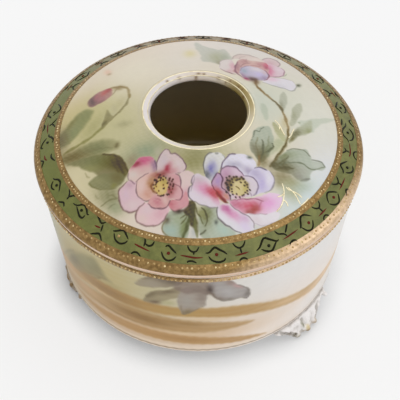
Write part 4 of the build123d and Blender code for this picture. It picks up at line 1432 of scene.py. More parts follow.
    # The heart of the flower
    p.wash(-15.7, -30, 1.1, "#a06c44", 0.75, 1.6, 90)
    p.wash(-15, -28.6, 1.2, "#a87f58", 0.7, 1.3, 40)
    p.wash(-12.6, -27.2, 1.3, "#7a2f26", 0.85, 1.6, 0)
    p.wash(-9, -32.8, 1.5, "#8d4142", 0.85, 1.4, 70)
    p.wash(-9.6, -29.8, 1.2, "#77504e", 0.6, 1.5, -60)
    p.shape(
        "-14.3,-30 -13.1,-28.6 -11.6,-28.2 -10.4,-29.3 -9.9,-31 -10.2,-33 -11.2,-34 -12.8,-33.8 "
        "-14,-32.8 -14.7,-31.4",
        "#c9ac66", 1, 0.7,
    )
    p.wash(-11.2, -29.6, 1, "#a38f50", 0.7)
    p.wash(-11.8, -32.6, 1.1, "#d0b888", 0.8)
    p.line("-14.8,-29.6 -15.3,-31 -14.8,-32.4 -14,-33.4", "#6b3d12", 0.8, 0.8, 0.6)
    p.line("-13.4,-34 -12.2,-34.4 -11,-34.3", "#43240e", 0.45, 0.8)
    p.dots("-13.9,-29 -13.7,-29.7 -14.3,-28.8 -12.9,-28 -12.2,-28.4", "#3b1e05", 0.5)
    p.dots(
        "-11.3,-27.9 -10.6,-28.4 -9.5,-29.3 -8.6,-29.8 -9.2,-30.9 -8.2,-30.8 -12.5,-27.2",
        "#43221a", 0.42, 0.9,
    )
    p.dots("-11.2,-31.9 -10.2,-34.2 -9.6,-34 -12.2,-34.3 -11.5,-34.3", "#3a200c", 0.42, 0.95)
    p.dots(
        "-14.4,-31.6 -14.6,-30.4 -13.9,-30.4 -13.2,-29.4 -12.5,-29.2 -11.6,-29 -10.2,-30.2 -9.6,-31.8 "
        "-9.3,-28.6 -8.4,-31.4 -8.2,-29.2",
        "#3a1c0c", 0.4, 0.9,
    )
    p.dots(
        "-12.9,-32.7 -13.6,-31.2 -13.6,-33.4 -11.4,-30.8 -8.7,-33.3 -8.4,-32.2 -9.4,-32.4",
        "#5b3216", 0.34, 0.85,
    )


def paint_right_flower(p):
    """Lavender and rose anemone at the right of the pair in front."""
    rim = "#6a5568"
    petal = p.shape(
        "2.4,-28.6 1.8,-26 1.8,-23.6 2.4,-21.6 3.8,-20.2 6,-19.8 8.2,-20.4 8.6,-21.6 7.8,-24 6.4,-26.8 "
        "5,-29 3.8,-29.8",
        "#d3d1cf",
    )
    p.wash(4.2, -25.6, 1.5, "#736ea6", 0.9, 1.7, 80, petal)
    p.wash(2.6, -27.8, 1.2, "#55565a", 0.85, 1.5, 110, petal)
    p.wash(5.8, -27.2, 1, "#8e8fa0", 0.7, 1.5, 60, petal)
    p.line("2,-27.4 1.7,-25 1.9,-22.6 2.9,-20.9 4.4,-20", "#65625c", 0.5, 0.85)
    p.line("5.4,-20 6,-20.2 6.4,-20.1", "#77776e", 0.6, 0.7)
    p.line("7.8,-20.4 8.4,-21 8.5,-21.6", "#77756e", 0.4, 0.6)
    petal = p.shape(
        "7.6,-25 8.3,-22.8 9.8,-20.6 12,-19.7 15,-19.5 17.3,-20.3 19,-22.3 19,-24.2 17.6,-26.4 16,-27.8 "
        "13,-26 10,-25",
        "#d8d4e0",
    )
    p.wash(12, -23.6, 1.2, "#aaa4b6", 0.85, 2.6, 0, petal)
    p.wash(17, -25.6, 1.5, "#988aa4", 0.8, 1.7, -20, petal)
    p.wash(16, -22, 1.6, "#dcd8e6", 0.8, 1.4, 0, petal)
    p.wash(16.8, -20.4, 0.6, "#5e6456", 0.9, 1.5, -20)
    p.line("7.2,-25.6 8,-23.3 9,-21.7 10.6,-20.1 12.4,-19.7", "#5c4c62", 0.55, 0.85)
    petal = p.shape(
        "18.8,-23.9 20.6,-23.5 22.6,-24 24.2,-25.1 25,-27.4 24.6,-29.8 23.4,-31.3 21,-32.3 18,-33.6 "
        "19.4,-30.8 18.8,-28.2 16.6,-27 17,-25.4",
        "#d0c9dc",
    )
    p.wash(20.8, -29.4, 1.5, "#b3a6ce", 0.85, 2, 80, petal)
    p.wash(18.8, -26, 1.6, "#aba0bc", 0.8, 1.4, -40, petal)
    p.wash(23.2, -26.8, 1.3, "#dcd8de", 0.8, 1.8, 90, petal)
    p.line("18.5,-24.1 20,-23.6 21.6,-23.8 22.7,-24.3", "#5e5664", 0.5, 0.85)
    p.line("23.6,-24.5 24.7,-25.8 24.9,-27.8 24.4,-30 23.2,-31.3 21.6,-32.1", "#7b7478", 0.45, 0.8)
    petal = p.shape(
        "2,-28.4 -0.2,-27.5 -1.6,-27.9 -2.4,-29.4 -2,-31.2 -3.1,-32.4 -3.5,-33.9 -2.8,-35.4 -1,-36.8 "
        "2,-38.2 5,-38.7 6.6,-38.2 6.8,-36.6 5.6,-33.6 4.4,-30.8 3.4,-29.4",
        "#d5cad4",
    )
    p.wash(0, -29.8, 1.8, "#c0acb2", 0.8, 1.4, 0, petal)
    p.wash(2, -32.8, 1.8, "#d08bab", 0.9, 1.8, -30, petal)
    p.wash(4.4, -33.8, 1.3, "#b84a5c", 0.9, 2, -50, petal)
    p.wash(6, -36.6, 1, "#cf9db4", 0.7, 1.6, -60, petal)
    p.line("-1.1,-27.8 -2.1,-28.9 -2.3,-30.3 -1.8,-31.4", "#77686e", 0.45, 0.8)
    p.line("-2,-31.3 -3,-32.3 -3.4,-33.8 -2.9,-35.3 -1.6,-36.5", "#5f5258", 0.5, 0.85)
    p.line("-1.4,-36.6 0.6,-37.7 2.8,-38.3 5,-38.7 6,-38.6", "#77706a", 0.45, 0.8)
    p.line("-1.2,-28.4 -1.5,-29.6 -2.3,-32.6 -2.6,-33.4", "#8d7f86", 0.35, 0.6)
    petal = p.shape(
        "10.2,-36.4 13,-35.3 17,-34.7 19.6,-33.8 22.4,-32.4 25.4,-31.8 27.1,-33 27.2,-35 25.8,-37.4 "
        "23.4,-38.9 19,-39.6 15,-40 12,-38.8 10.6,-37.6",
        "#e0c4da",
    )
    p.wash(12.2, -37, 1.7, "#b46a80", 0.85, 1.6, -20, petal)
    p.wash(16.8, -37.2, 2, "#bf5162", 0.95, 1.9, 5, petal)
    p.wash(18.6, -37.8, 1.2, "#983c30", 0.95, 2, 40, petal)
    p.wash(16.5, -39.3, 0.7, "#8a3c30", 0.7, 2.4, 5, petal)
    p.wash(22.6, -35.6, 1.9, "#dc9ecb", 0.9, 1.7, 25, petal)
    p.wash(20.6, -34.6, 1, "#c692a6", 0.7, 2, 10, petal)
    p.line("10.2,-36.1 12.6,-35.5 15.2,-35.2 17.4,-34.8 19.4,-34.8 21,-35.2", "#8a4a5c", 0.4, 0.8)
    p.line("20.6,-35 20.2,-36.2 19.6,-37.4", "#a0566a", 0.4, 0.5)
    petal = p.shape(
        "15,-40 18,-39.7 22,-39.2 25.4,-38 26.6,-38.6 25.6,-40.4 23.4,-42.2 20,-43.2 18,-43 17,-41.4",
        "#dcd5da",
    )
    p.wash(18.6, -41.4, 1.4, "#d2c4c8", 0.7, 1.6, -30, petal)
    p.line("18,-42.8 20,-43 22.2,-42.9 24.6,-41.4", "#9f949a", 0.35, 0.6)
    p.line("16.4,-39.9 19.4,-39.6 22.2,-39.1", "#a3868e", 0.4, 0.6)
    p.wash(21.5, -44.2, 1.6, "#cfc2cc", 0.7, 2.2, 20)
    petal = p.shape(
        "6.2,-38.6 7.4,-37.4 9,-37 10.6,-37.9 12.4,-39.3 15,-40.2 17,-41.4 18.1,-43.4 17.3,-45.3 "
        "15.2,-46.2 12.4,-45.8 9.4,-44.3 7,-42.7 6,-40.8",
        "#d8d4da",
    )
    p.wash(11.4, -40.6, 1.5, "#d18fb2", 0.9, 2.2, -30, petal)
    p.wash(8.8, -38.7, 1.2, "#b65c8c", 0.9, 1.6, -35, petal)
    p.wash(15, -44, 1.7, "#d3c3de", 0.8, 1.3, -30, petal)
    p.wash(14.8, -41.4, 1, "#c7a0c0", 0.7, 1.8, -30, petal)
    p.line("6.3,-38.4 5.9,-40.2 6.4,-41.9 8,-43.3 10.4,-44.7 12.6,-45.8 14.8,-46.3", "#635c5c", 0.5, 0.85)
    p.line("10.2,-37.2 12,-38.8 14.2,-39.9 16.4,-40.9 17.8,-42.6 18,-44.2", "#77636c", 0.4, 0.75)
    petal = p.shape(
        "7.6,-28.4 7.2,-26.6 8.2,-24.9 10,-24.4 12,-24.5 14,-25.8 15.1,-27.6 15,-30 12,-33 9.4,-33.6 "
        "7.8,-32",
        "#c3a4b8",
    )
    p.wash(9, -27.2, 1.5, "#b48aa6", 0.8, 1.4, 60, petal)
    p.wash(12.6, -26.2, 1.3, "#cfbac8", 0.8, 1.6, -20, petal)
    p.line("7.3,-27.4 7.4,-25.9 8.6,-24.8 10.4,-24.3 12.2,-24.6 13.8,-25.8 14.8,-27.3", rim, 0.55, 0.9)
    petal = p.shape(
        "14.8,-27.4 16.8,-27.2 18.7,-28.3 19.5,-30.2 19.2,-32 18,-33.6 16.4,-34.3 13,-35.2 10.6,-35.4 "
        "11,-33 15,-31",
        "#cfc3cd",
    )
    p.wash(13.2, -34.7, 1.2, "#c99aa2", 0.7, 2, 10, petal)
    p.line("15,-27.3 16.8,-27.2 18.5,-28.1 19.4,-29.8 19.4,-31.4 18.6,-33 17.8,-33.6", "#6f6076", 0.5, 0.85)
    p.line("16.2,-32.6 17,-33.2 17.3,-33.9", "#8a7a86", 0.4, 0.6)
    petal = p.shape(
        "4.4,-31 5,-28.9 6,-27.2 7,-27.3 7.8,-28.6 7.7,-31.6 9.2,-33.3 10.3,-35 10,-36.3 8.4,-35.8 "
        "6.4,-34 5,-32.6",
        "#b592ae",
    )
    p.wash(6.4, -29.6, 1, "#a88ab6", 0.8, 1.6, 70, petal)
    p.wash(9, -34.8, 1, "#c88a70", 0.85, 1.5, -45, petal)
    p.wash(6.4, -33.4, 1, "#b4433c", 0.9, 1.6, -50, petal)
    p.line(
        "4.3,-31.6 4.5,-30 5.2,-28.3 6.1,-27.1 7,-27.4 7.8,-28.6 7.6,-30.4 7.9,-32.2 9.2,-33.1 "
        "10.1,-34.4 10.4,-35.8",
        "#4f3048", 0.5, 0.9,
    )
    p.line("4.5,-31.4 5,-32.6 5.8,-33.4", "#5c2a36", 0.4, 0.8)
    p.wash(5.5, -34, 1.2, "#b5474a", 0.75, 1.8, -50)
    p.line("5.8,-33.2 6.7,-34.6 7.7,-35.6 9,-36.5", "#7e1a0c", 1.2, 0.95, 0.7, 0.3)
    p.line("7.8,-35.8 8.7,-36.5 9.6,-36.9", "#5e2a10", 0.7, 0.7, 0.5)
    p.line("6.6,-36.4 8.2,-37.2 9.8,-37.6", "#d8bcc0", 0.6, 0.7, 0.5)
    # The heart of the flower
    p.wash(9.6, -30.6, 1.4, "#8a6a58", 0.8, 1.6, 90)
    p.shape(
        "9.9,-31.6 10.2,-29.8 11.3,-28.6 13,-28.1 14.9,-28.5 16.1,-29.6 16.4,-31.2 15.9,-33 14.7,-33.9 "
        "12.8,-34.2 11,-33.8 10.1,-32.9",
        "#cbbb84", 1, 0.5,
    )
    p.wash(15.4, -31.6, 1, "#a89a4e", 0.6, 1.5, 80)
    p.wash(12, -30.2, 1, "#d0c298", 0.6)
    p.wash(10.2, -30.4, 0.9, "#4e3e1a", 0.8, 2, 80)
    p.wash(12.6, -28.6, 0.7, "#5c4c20", 0.7, 2.6, 5)
    p.wash(15.9, -30.2, 0.6, "#6a5a2e", 0.6, 1.8, 110)
    p.dots(
        "10.2,-29.6 11,-28.9 11.6,-28.1 12.4,-27.8 12.8,-28.9 13.5,-28.6 14,-28 14.6,-28.5",
        "#3e2e08", 0.48,
    )
    p.dots("12.4,-29.1 13.9,-29.8 15.3,-29.4 15.1,-30.6 15.9,-30.2 16.1,-31.2", "#453506", 0.42)
    p.dots(
        "9.2,-28.4 10.2,-28 9,-33.4 10.2,-34.4 14.8,-33.9 16,-33.4 16.7,-32 10.6,-30.8 11.2,-29.8 "
        "10.9,-32.2",
        "#2c1c10", 0.42, 0.9,
    )
    p.dots("9.4,-29.4 8.9,-30.3 9.3,-31 9.9,-31.7 9.9,-32.5 9.6,-31.9", "#2e160a", 0.5)
    p.dots(
        "15.8,-32.4 15.2,-33.1 11,-33.1 11.1,-34 12.5,-33.8 12,-34.8 13.4,-34.7 14.3,-34.1",
        "#3c2220", 0.4,
    )
    p.line("12.1,-31.3 12.8,-31.7 13.4,-32.2", "#4e3d10", 0.4, 0.9)


film_thickness = 0.12
field_out = 48.4
field_in = 22.6


def painted_field(name, start, sweep, columns, rows):
    """Sector of the glaze film over the painting, from the gold band to the side of the lip."""
    radii = np.linspace(field_out, field_in, rows)
    over_dome = np.stack([radii, dome_height(radii)], 1)
    to_lip = arc(lip_foot, lip_crest, -0.3, 9)[3:7]
    # The glaze pools in a soft curve where the lip rises from the dome
    t = np.linspace(0.1, 0.9, 9)[:, None]
    pooled = (1 - t) ** 2 * over_dome[-1] + 2 * t * (1 - t) * lip_foot + t**2 * to_lip[0]
    top = np.vstack([over_dome, pooled, to_lip])
    section = skin(top, film_thickness)
    # Its underside is sunk in the lid, so it needs few points
    section = np.vstack([section[: len(top)], section[len(top) : -1 : 6], section[-1:]])
    film = turned(name, section, columns, start, sweep)
    spots = places(film)
    p = paint_lid(spots[:, 0], spots[:, 1])
    paint_leaves(p)
    paint_far_flower(p)
    paint_left_flower(p)
    paint_right_flower(p)
    lay_paint(film, p.colour)
    film.data.materials.append(porcelain)
    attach(film, "lid")


# The ground runs on up to the lip. Inside it the glaze is white at the left and olive brown at the
# right, with specks of brown behind. It is painted unrolled: degrees round from the right, and
# three times the distance from the axis
gilt_inside = 18.9
lid_edge_highlight = "#e0c4ae"
underneath_white = "#dedbe2"
spots = places(lid)
reach = np.hypot(spots[:, 0], spots[:, 1])
rim = (spots[:, 2] > 73) & (reach > gilt_inside)
edge = (spots[:, 2] < 62) & (reach > 56)
inside = (reach < gilt_inside) & (spots[:, 2] > 74)
p = Painting(np.degrees(np.arctan2(spots[:, 1], spots[:, 0])), reach * 3, "#e2dbd8")
p.wash(90, 53.5, 30, "#ddd0c2", 0.9)
p.wash(15, 52, 22, "#a08e58", 0.9, 1.6)
p.wash(38, 54, 12, "#86723c", 0.85, 1.6)
p.wash(-60, 52, 20, "#cbbd92", 0.8, 2)
for turn in (24, 33, 39, 52, 56, 66, 84, 90, 93, 113, 128):
    p.wash(turn, 52.4 + 1.6 * math.sin(turn), 1.2, "#6e5234", 0.75, 1 + math.cos(3 * turn) ** 2)
colours = p.colour
field = paint_lid(spots[:, 0], spots[:, 1]).colour
colours[rim] = field[rim]
# The lid's edge under the gold is pale pink: a painted highlight on its rounded edge
colours[edge] = tint(lid_edge_highlight)
colours[~(rim | edge | inside)] = tint(underneath_white)
lay_paint(lid, colours)
painted_field("painted_field_front", 170, 200, 790, 91)
painted_field("painted_field_back", 10, 160, 460, 83)


# Border ground: a ring of olive-green enamel on the shoulder. It was sponged on, so it is mottled
# and a little rough, with soft highlights.
border_in = 50.0
radii = np.linspace(border_out, border_in, 12)
border_ground = turned("border_ground", skin(np.stack([radii, dome_height(radii)], 1), 0.1), 360)
green, nodes = new_material("sponged_olive_enamel")
coords = add_node(nodes, "ShaderNodeTexCoord")
sponge = add_node(
    nodes,
    "ShaderNodeTexNoise",
    {"Vector": coords.outputs["Object"], "Scale": 240, "Detail": 6, "Roughness": 0.7},
)
cover = add_node(
    nodes, "ShaderNodeMapRange", {"Value": sponge.outputs["Fac"], "From Min": 0.35, "From Max": 0.65}
)
bump = add_node(
    nodes, "ShaderNodeBump", {"Height": sponge.outputs["Fac"], "Strength": 0.3, "Distance": 0.3 * MM}
)
# Painted reflection: paler and more brown toward the back, where the glaze reflects the room at a
# grazing angle. It is yellower at the left
place = add_node(nodes, "ShaderNodeSeparateXYZ", {0: coords.outputs["Object"]})
away = add_node(
    nodes, "ShaderNodeMapRange", {"Value": place.outputs["Y"], "From Min": 32 * MM, "From Max": 56 * MM}
)
left = add_node(
    nodes,
    "ShaderNodeMapRange",
    {"Value": place.outputs["X"], "From Min": -30 * MM, "From Max": -52 * MM, "To Max": 0.75},
)
sponged = add_node(
    nodes,
    "ShaderNodeMix",
    {0: cover.outputs[0], 6: (*linear("#565a1c"), 1), 7: (*linear("#747634"), 1)},
    data_type="RGBA",
)
yellower = add_node(
    nodes,
    "ShaderNodeMix",
    {0: left.outputs[0], 6: sponged.outputs[2], 7: (*linear("#606614"), 1)},
    data_type="RGBA",
)
back_reflection = add_node(
    nodes,
    "ShaderNodeMix",
    {0: away.outputs[0], 6: yellower.outputs[2], 7: (*linear("#857050"), 1)},
    data_type="RGBA",
)
surface = add_node(
    nodes,
    "ShaderNodeBsdfPrincipled",
    {
        "Base Color": back_reflection.outputs[2],
        "Roughness": 0.4,
        "IOR": 1.52,
        "Normal": bump.outputs["Normal"],
    },
)
add_node(nodes, "ShaderNodeOutputMaterial", {"Surface": surface.outputs[0]})
border_ground.data.materials.append(green)
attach(border_ground, "lid")


# Border ornament: lozenges, forks and dashes drawn by hand with a liner brush in thick enamel.
# Strokes are written as 'along,radius' in mm: the arc from the front, and out from the axis.
def strokes(name, lines, thickness, lift):
    """Raised enamel strokes: a round-bevelled curve for each, thinner at its ends, made a mesh.

    Lift is how far the middle of a stroke lies above the lid, below 0 if it is sunk into it.
    """
    curve = bpy.data.curves.new(name, "CURVE")
    curve.dimensions = "3D"
    curve.bevel_depth = thickness / 2 * MM
    curve.bevel_resolution = 1
    curve.use_fill_caps = True
    for line in lines:
        path = smooth_path(line, steps=3)
        spline = curve.splines.new("POLY")
        spline.points.add(len(path) - 1)
        for i, (along, radius) in enumerate(path):
            turn = math.radians(-90) + along / arc_radius
            height = float(dome_height(radius)) + lift
            spline.points[i].co = (radius * math.cos(turn) * MM, radius * math.sin(turn) * MM, height * MM, 1)
            spline.points[i].radius = 0.55 + 0.45 * math.sin(math.pi * i / (len(path) - 1)) ** 0.5
    piece = bpy.data.objects.new(name, curve)
    scene.collection.objects.link(piece)
    bpy.ops.object.select_all(action="DESELECT")
    piece.select_set(True)
    bpy.context.view_layer.objects.active = piece
    bpy.ops.object.convert(target="MESH")
    bpy.ops.object.mode_set(mode="EDIT")
    bpy.ops.mesh.select_all(action="SELECT")
    bpy.ops.mesh.remove_doubles(threshold=0.001 * MM)
    bpy.ops.mesh.normals_make_consistent(inside=False)
    bpy.ops.object.mode_set(mode="OBJECT")
    bpy.ops.object.shade_smooth_by_angle(angle=math.radians(60))
    return bpy.context.object


lozenges = """
2.2,52.3 3.5,52.2 5.3,50.9 6.8,51.6 8.3,52.4 9.2,53.2
3.2,53.2 4.2,54.4 6.2,55 8,54.7 8.5,54
18.5,53.9 20,53.2 22.2,51.2 24,52 26,53.2 27,53
20.2,53.8 21.5,54.7 23.3,55.2 25,54 26,53.2
35.5,53.2 36.2,52.7 37.8,50.7 39.5,50.6 41.8,52.3
36,53 37.2,54.7 38.7,55.2 40,54.6 41.2,53.2
50.2,53.2 51.5,51.6 53.2,50.9 55,52 56.2,53.2
50.2,53.2 51.5,54.6 53.5,55.2 55,54.4 56,53.4
64.5,52.2 65.8,51.8 67.3,50.5 69,51.2 70.8,52.4
65.5,52.8 66.8,54.2 68.5,54.9 70.3,54.3
79.8,52.2 81,52 82.5,50.5 84.3,50.2 86,50.8 88,52 90,52.5
81,52.5 82,53.7 84.3,54.4 86.3,53.8 87.2,53
-11,51.3 -10,50.8 -8.6,51.7 -7,52.8
-12,52.7 -11,54.2 -9.6,54.9 -8,54.5 -7,53.5
-30,51.5 -29,51.2 -26.6,50.1 -25,51 -23.7,52
-29.3,51.8 -28,53.3 -26,53.9 -24.3,53.2 -23.8,52.3
-49,52 -47,51.6 -45.5,50.3 -44.3,50.1 -42.7,50.7 -41.5,51.5 -40.8,51.2
-47,51.8 -45,52.7 -43.5,53.3 -42.2,53.2 -42,52
-63,53 -62,52.6 -61,51.7 -59.5,51.5 -58,52.3 -56.5,53.3
-62,53.2 -61,54.2 -59.8,54.6 -58.3,54.1
-84.3,52.4 -83,52.3 -81.7,51.2 -80.2,50.5 -78.8,51
-82.5,53 -81,54.3 -79,55 -78.2,54.2
-100,53.2 -98,51.5 -96.3,50.8 -95,51.5 -93.5,53
-97.5,54.5 -95.2,55.4 -93.5,54 -92.5,53.3
"""
forks = """
11.5,50.2 12.3,51.4 13.6,52 15,51.5 16,50.2
13.7,52 13.8,53.6
12.5,56 13,55.2 13.9,54.9 14.8,55.2 15.5,56.2
26.8,50.4 27.6,51.6 29.3,52.2 30.2,53.2
30,52.2 31,51.3 32.3,50.1
29,56.2 29.8,55.5 31,55 32,55.3 32.5,56.1
44,50.2 44.6,51.2 46,51.9 47.2,51.3 47.8,50.3
46,51.9 46.3,53.5
44.3,56 44.8,55 45.8,54.6 46.7,55 47.2,56
57.2,50.3 58.3,51.5 59.7,52 61,51.2 61.6,50.5
59.7,52 59.8,53.5
57,56 58.3,55.7 59.6,55 60.6,56
72.9,50.1 74,50.8 75.3,51.4 76.3,50.7
75.3,51.4 75.3,52.7
73.7,55.5 74.3,54.6 75.6,54.1 76.8,54.5 77.5,55.4
87.5,50.1 88.3,50.6 90,51 91.5,51.3
89,55.5 90,54.6 91.5,54.2 92.5,55.2
-3.6,50.1 -3.3,51 -2.2,51.9 -0.7,51.8 0.2,50.5
-1.5,51.8 -1.5,52.8
-3.3,55 -3.2,54.6 -1.8,54.5 -0.5,55
-18.5,50.3 -18,51 -18,52.5
-18,51.5 -16.5,52 -15.3,51.4 -15,50.3
-21.2,55.5 -20.6,54.8 -19.4,54.6 -18,55.4
-38,50.1 -36.8,50.5 -35,51.2 -33.7,50.2
-34.3,51.2 -33.6,53.4
-36.5,55.4 -35,54.6 -33.5,54.1 -31.5,55.8
-54.5,50.3 -53,50.9 -52,51.6 -51,50.5 -50,50.2
-52,51.6 -51.9,52.7
-53.8,55.2 -52.5,54.3 -51.7,54 -50.5,54.7
-73.8,51.3 -72.5,51.7 -71,51.3 -69.5,50.6
-73.5,55.7 -72.5,54.6 -71.5,54.8 -70,55.6
-91.5,50.5 -90,51.3 -89,52 -88,51.2 -86.5,50.4
-89,52 -88.5,53
-90.5,55.8 -89.5,55 -88,54.8 -87,55.4
"""
dashes = """
11.5,53.9 16.3,53.6
28,53.6 34.8,53
43.7,53.6 48.3,53.5
57.5,53.3 63.6,53.2
73.2,52.7 75.5,53 80,52.5
-5.8,53.1 -3.5,53.3 -1,53.6 1.5,53.5
-21.3,52.5 -19.5,52.8 -15.5,53.4
-36.8,52.8 -34.3,52.5
-74.8,53.9 -73,53.8 -71.8,53.2
-90.5,53.9 -84.5,53
"""


def like(line, along):
    """The same stroke further along the border."""
    marks = [mark.split(",") for mark in line.split()]
    return " ".join(f"{float(x) + along:.2f},{y}" for x, y in marks)


# The painter's spacing on the side away from the front, where each motif is like one of those above
lozenge_lines = lozenges.strip().split("\n")
fork_lines = forks.strip().split("\n")
dash_lines = dashes.strip().split("\n")
far = (92, 109, 126, 142, 159, 176)
back_lozenges = [like(line, along) for along in (*far, 193, 210.5) for line in lozenge_lines[0:2]]
back_forks = [like(line, along) for along in (*far, 193, 209.5) for line in fork_lines[0:3]]
back_dashes = [like(line, along) for along in (*far, 193, 209.5) for line in dash_lines[0:1]]


def enamel(name, thick, thin, finish):
    """Opaque enamel: darker where the stroke is thick, and nearly matt, with a thin dull shine."""
    material, nodes = new_material(name)
    coords = add_node(nodes, "ShaderNodeTexCoord")
    cover = add_node(
        nodes, "ShaderNodeTexNoise", {"Vector": coords.outputs["Object"], "Scale": 500, "Detail": 3}
    )
    mixed = add_node(
        nodes,
        "ShaderNodeMix",
        {0: cover.outputs["Fac"], 6: (*linear(thick), 1), 7: (*linear(thin), 1)},
        data_type="RGBA",
    )
    surface = add_node(nodes, "ShaderNodeBsdfPrincipled", {"Base Color": mixed.outputs[2], **finish})
    add_node(nodes, "ShaderNodeOutputMaterial", {"Surface": surface.outputs[0]})
    return material


black_finish = {"Roughness": 0.4, "IOR": 1.52, "Specular IOR Level": 0.12}
red_finish = {"Roughness": 0.5, "Specular IOR Level": 0.15}
dark_enamel = enamel("black_brown_enamel", "#0e0f03", "#211f08", black_finish)
red_enamel = enamel("iron_red_enamel", "#4c1209", "#702314", red_finish)
drawn_lozenges = strokes("drawn_lozenges", lozenge_lines + back_lozenges, 0.88, -0.14)
drawn_lozenges.data.materials.append(dark_enamel)
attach(drawn_lozenges, "lid")
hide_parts("border_lozenges")
drawn_forks = strokes("drawn_forks", fork_lines + back_forks, 0.86, -0.14)
drawn_forks.data.materials.append(dark_enamel)
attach(drawn_forks, "lid")
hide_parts("border_forks")
drawn_dashes = strokes("drawn_dashes", dash_lines + back_dashes, 0.72, -0.1)
drawn_dashes.data.materials.append(red_enamel)
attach(drawn_dashes, "lid")


# Jewels: a drop of enamel in the middle of each lozenge, iron red in some and nearly black in
# others. One pale gold drop is a painted highlight: the glint in one lozenge.
def jewels(name, middles, finish):
    """Domed drops of enamel, at places written as the border's strokes are."""
    spots = []
    for along, radius in middles:
        lean = math.degrees(math.asin((radius - dome_centre[0]) / dome_radius))
        spots.append(on_ring(radius, float(dome_height(radius)) + 0.05, lean, along))
    drops = set_out(bead(0.55, 0.28), name, spots)
    drops.data.materials.append(finish)
    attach(drops, "lid")
    return drops


reds = [(5.8, 53), (39.3, 53.3), (53.5, 53.2), (-9.6, 53)]
reds += [(5.8 + along, 53) for along in (109, 142, 176, 210.5)]
darks = [(23, 53.7), (68, 52.9), (84.7, 52.4), (-44.3, 51.8), (-59.4, 53), (-80, 52.7), (-95.4, 53)]
darks += [(5.8 + along, 53) for along in (92, 126, 159, 193)]
red_jewels = jewels("red_jewels", reds, red_enamel)
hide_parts("border_jewels")
jewels("dark_jewels", darks, dark_enamel)
# Painted highlight: a pale gold drop for the glint in one lozenge
jewels("painted_glint_jewel", [(-27.2, 52.2)], bright_gold)


# Gold bands of the lid: one rolled over the edge of the shoulder, from its upright part onto the
# border, and one inside the border that frames the painted field.
gilt_edge = np.vstack([[(lid_radius, 59.35)], edge_outline[12:], [(55.5, float(dome_height(55.5)))]])
edge_band = turned("edge_gold", skin(gilt_edge, 0.2), 480)
edge_band.data.materials.append(old_gold)
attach(edge_band, "lid")
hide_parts("lid_edge_gilding")
radii = np.linspace(50.25, 48.2, 6)
border_band = turned("border_gold", skin(np.stack([radii, dome_height(radii)], 1), 0.22), 480)
border_band.data.materials.append(old_gold)
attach(border_band, "lid")
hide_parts("border_gilding")


# Sprigs: three stalks of grass trailed over the painting in raised enamel, gilt or left cream, with
# a burnished skin that is pale, smooth and shiny.
def trailed(name, sprays, thickness, finish):
    """Trailed lines on the lid, written as 'x,y' in mm seen from above."""
    lines = []
    for spray in sprays:
        marks = [[float(v) for v in mark.split(",")] for mark in spray.split()]
        laid = [(math.atan2(x, -y) * arc_radius, math.hypot(x, y)) for x, y in marks]
        lines.append(" ".join(f"{along:.2f},{radius:.2f}" for along, radius in laid))
    sprig = strokes(name, lines, thickness, 0.14)
    sprig.data.materials.append(finish)
    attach(sprig, "lid")


pale_gold, nodes = new_material("burnished_pale_gold")
coords = add_node(nodes, "ShaderNodeTexCoord")
wear = add_node(nodes, "ShaderNodeTexNoise", {"Vector": coords.outputs["Object"], "Scale": 260, "Detail": 3})
worn = add_node(
    nodes, "ShaderNodeMapRange", {"Value": wear.outputs["Fac"], "From Min": 0.3, "From Max": 0.5}
)
gold = add_node(
    nodes,
    "ShaderNodeMix",
    {0: worn.outputs[0], 6: (*linear("#c8b48a"), 1), 7: (*linear("#fbf0cc"), 1)},
    data_type="RGBA",
)
surface = add_node(
    nodes,
    "ShaderNodeBsdfPrincipled",
    {"Base Color": gold.outputs[2], "Metallic": 0.35, "Roughness": 0.3},
)
add_node(nodes, "ShaderNodeOutputMaterial", {"Surface": surface.outputs[0]})
near_gold = [
    "28.8,-29 29.6,-29.8 30.5,-29.8",
    "27.5,-28 28,-30 28,-32 27.5,-34.5 26.5,-36.5 25.3,-38",
    "36.3,-31.3 35,-33 33.5,-34.5",
    "28,-31.4 27,-32.4 25.8,-33",
    "27.8,-33.6 28.8,-34.4 29.2,-35.6",
]
near_cream = ["29.5,-29 31,-30.3 32,-31.5 32.8,-33 33.4,-34", "30.5,-30 32.5,-30.6 34,-31.6"]
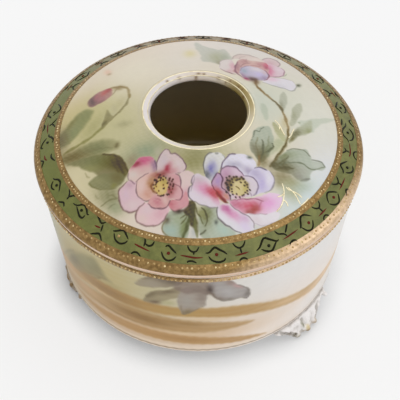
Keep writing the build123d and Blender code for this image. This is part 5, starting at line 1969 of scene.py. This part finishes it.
far_gold = ["26,-3 27.5,-5 28.5,-7.5 29.3,-9", "32.6,-5 32,-6.5 31.3,-8.5 30.4,-9.6", "27.6,-5.2 27.4,-6.8"]
trailed("gold_sprigs", near_gold + far_gold, 0.5, pale_gold)
trailed("cream_sprigs", near_cream, 0.45, pale_gold)


# Gold on the lip: two burnished lines laid on thickly enough to stand up half round, one on the
# crest and a finer one just inside the hole.
lip_turn = np.radians(np.linspace(5, 175, 11))
line = np.stack([19.08 + 0.26 * np.cos(lip_turn), 76.72 + 0.3 * np.sin(lip_turn)], 1)
inner_line = np.stack([17.4 + 0.17 * np.cos(lip_turn), 76.4 + 0.24 * np.sin(lip_turn)], 1)
lip_line = turned("lip_gold", line, 240)
lip_line.data.materials.append(pale_gold)
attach(lip_line, "lid")
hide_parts("lip_gilding")
lip_line = turned("lip_inner_gold", inner_line, 240)
lip_line.data.materials.append(pale_gold)
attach(lip_line, "lid")


# Grains: a row of tiny beads of raised enamel on each of the lid's gold bands, gilt over and set
# out by eye, so they wander a little.
edge_grain_count = 200
edge_lean = 44
band_grain_count = 270
grain_lift = 0.18
spots = []
for i in range(edge_grain_count):
    radius = 56.5 + rng.uniform(-0.3, 0.3)
    height = float(np.interp(radius, edge_outline[:, 0][::-1], edge_outline[:, 1][::-1]))
    along = i * 2 * math.pi * arc_radius / edge_grain_count + rng.uniform(-0.3, 0.3)
    spots.append(on_ring(radius, height + grain_lift, edge_lean, along))
grains = set_out(bead(0.36, 0.1), "edge_grains", spots)
grains.data.materials.append(bright_gold)
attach(grains, "lid")
spots = []
for i in range(band_grain_count):
    radius = 49.25 + rng.uniform(-0.25, 0.25)
    lean = math.degrees(math.asin((radius - dome_centre[0]) / dome_radius))
    height = float(dome_height(radius)) + grain_lift
    along = i * 2 * math.pi * arc_radius / band_grain_count + rng.uniform(-0.2, 0.2)
    spots.append(on_ring(radius, height, lean, along))
grains = set_out(bead(0.34, 0.16), "band_grains", spots)
grains.data.materials.append(bright_gold)
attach(grains, "lid")
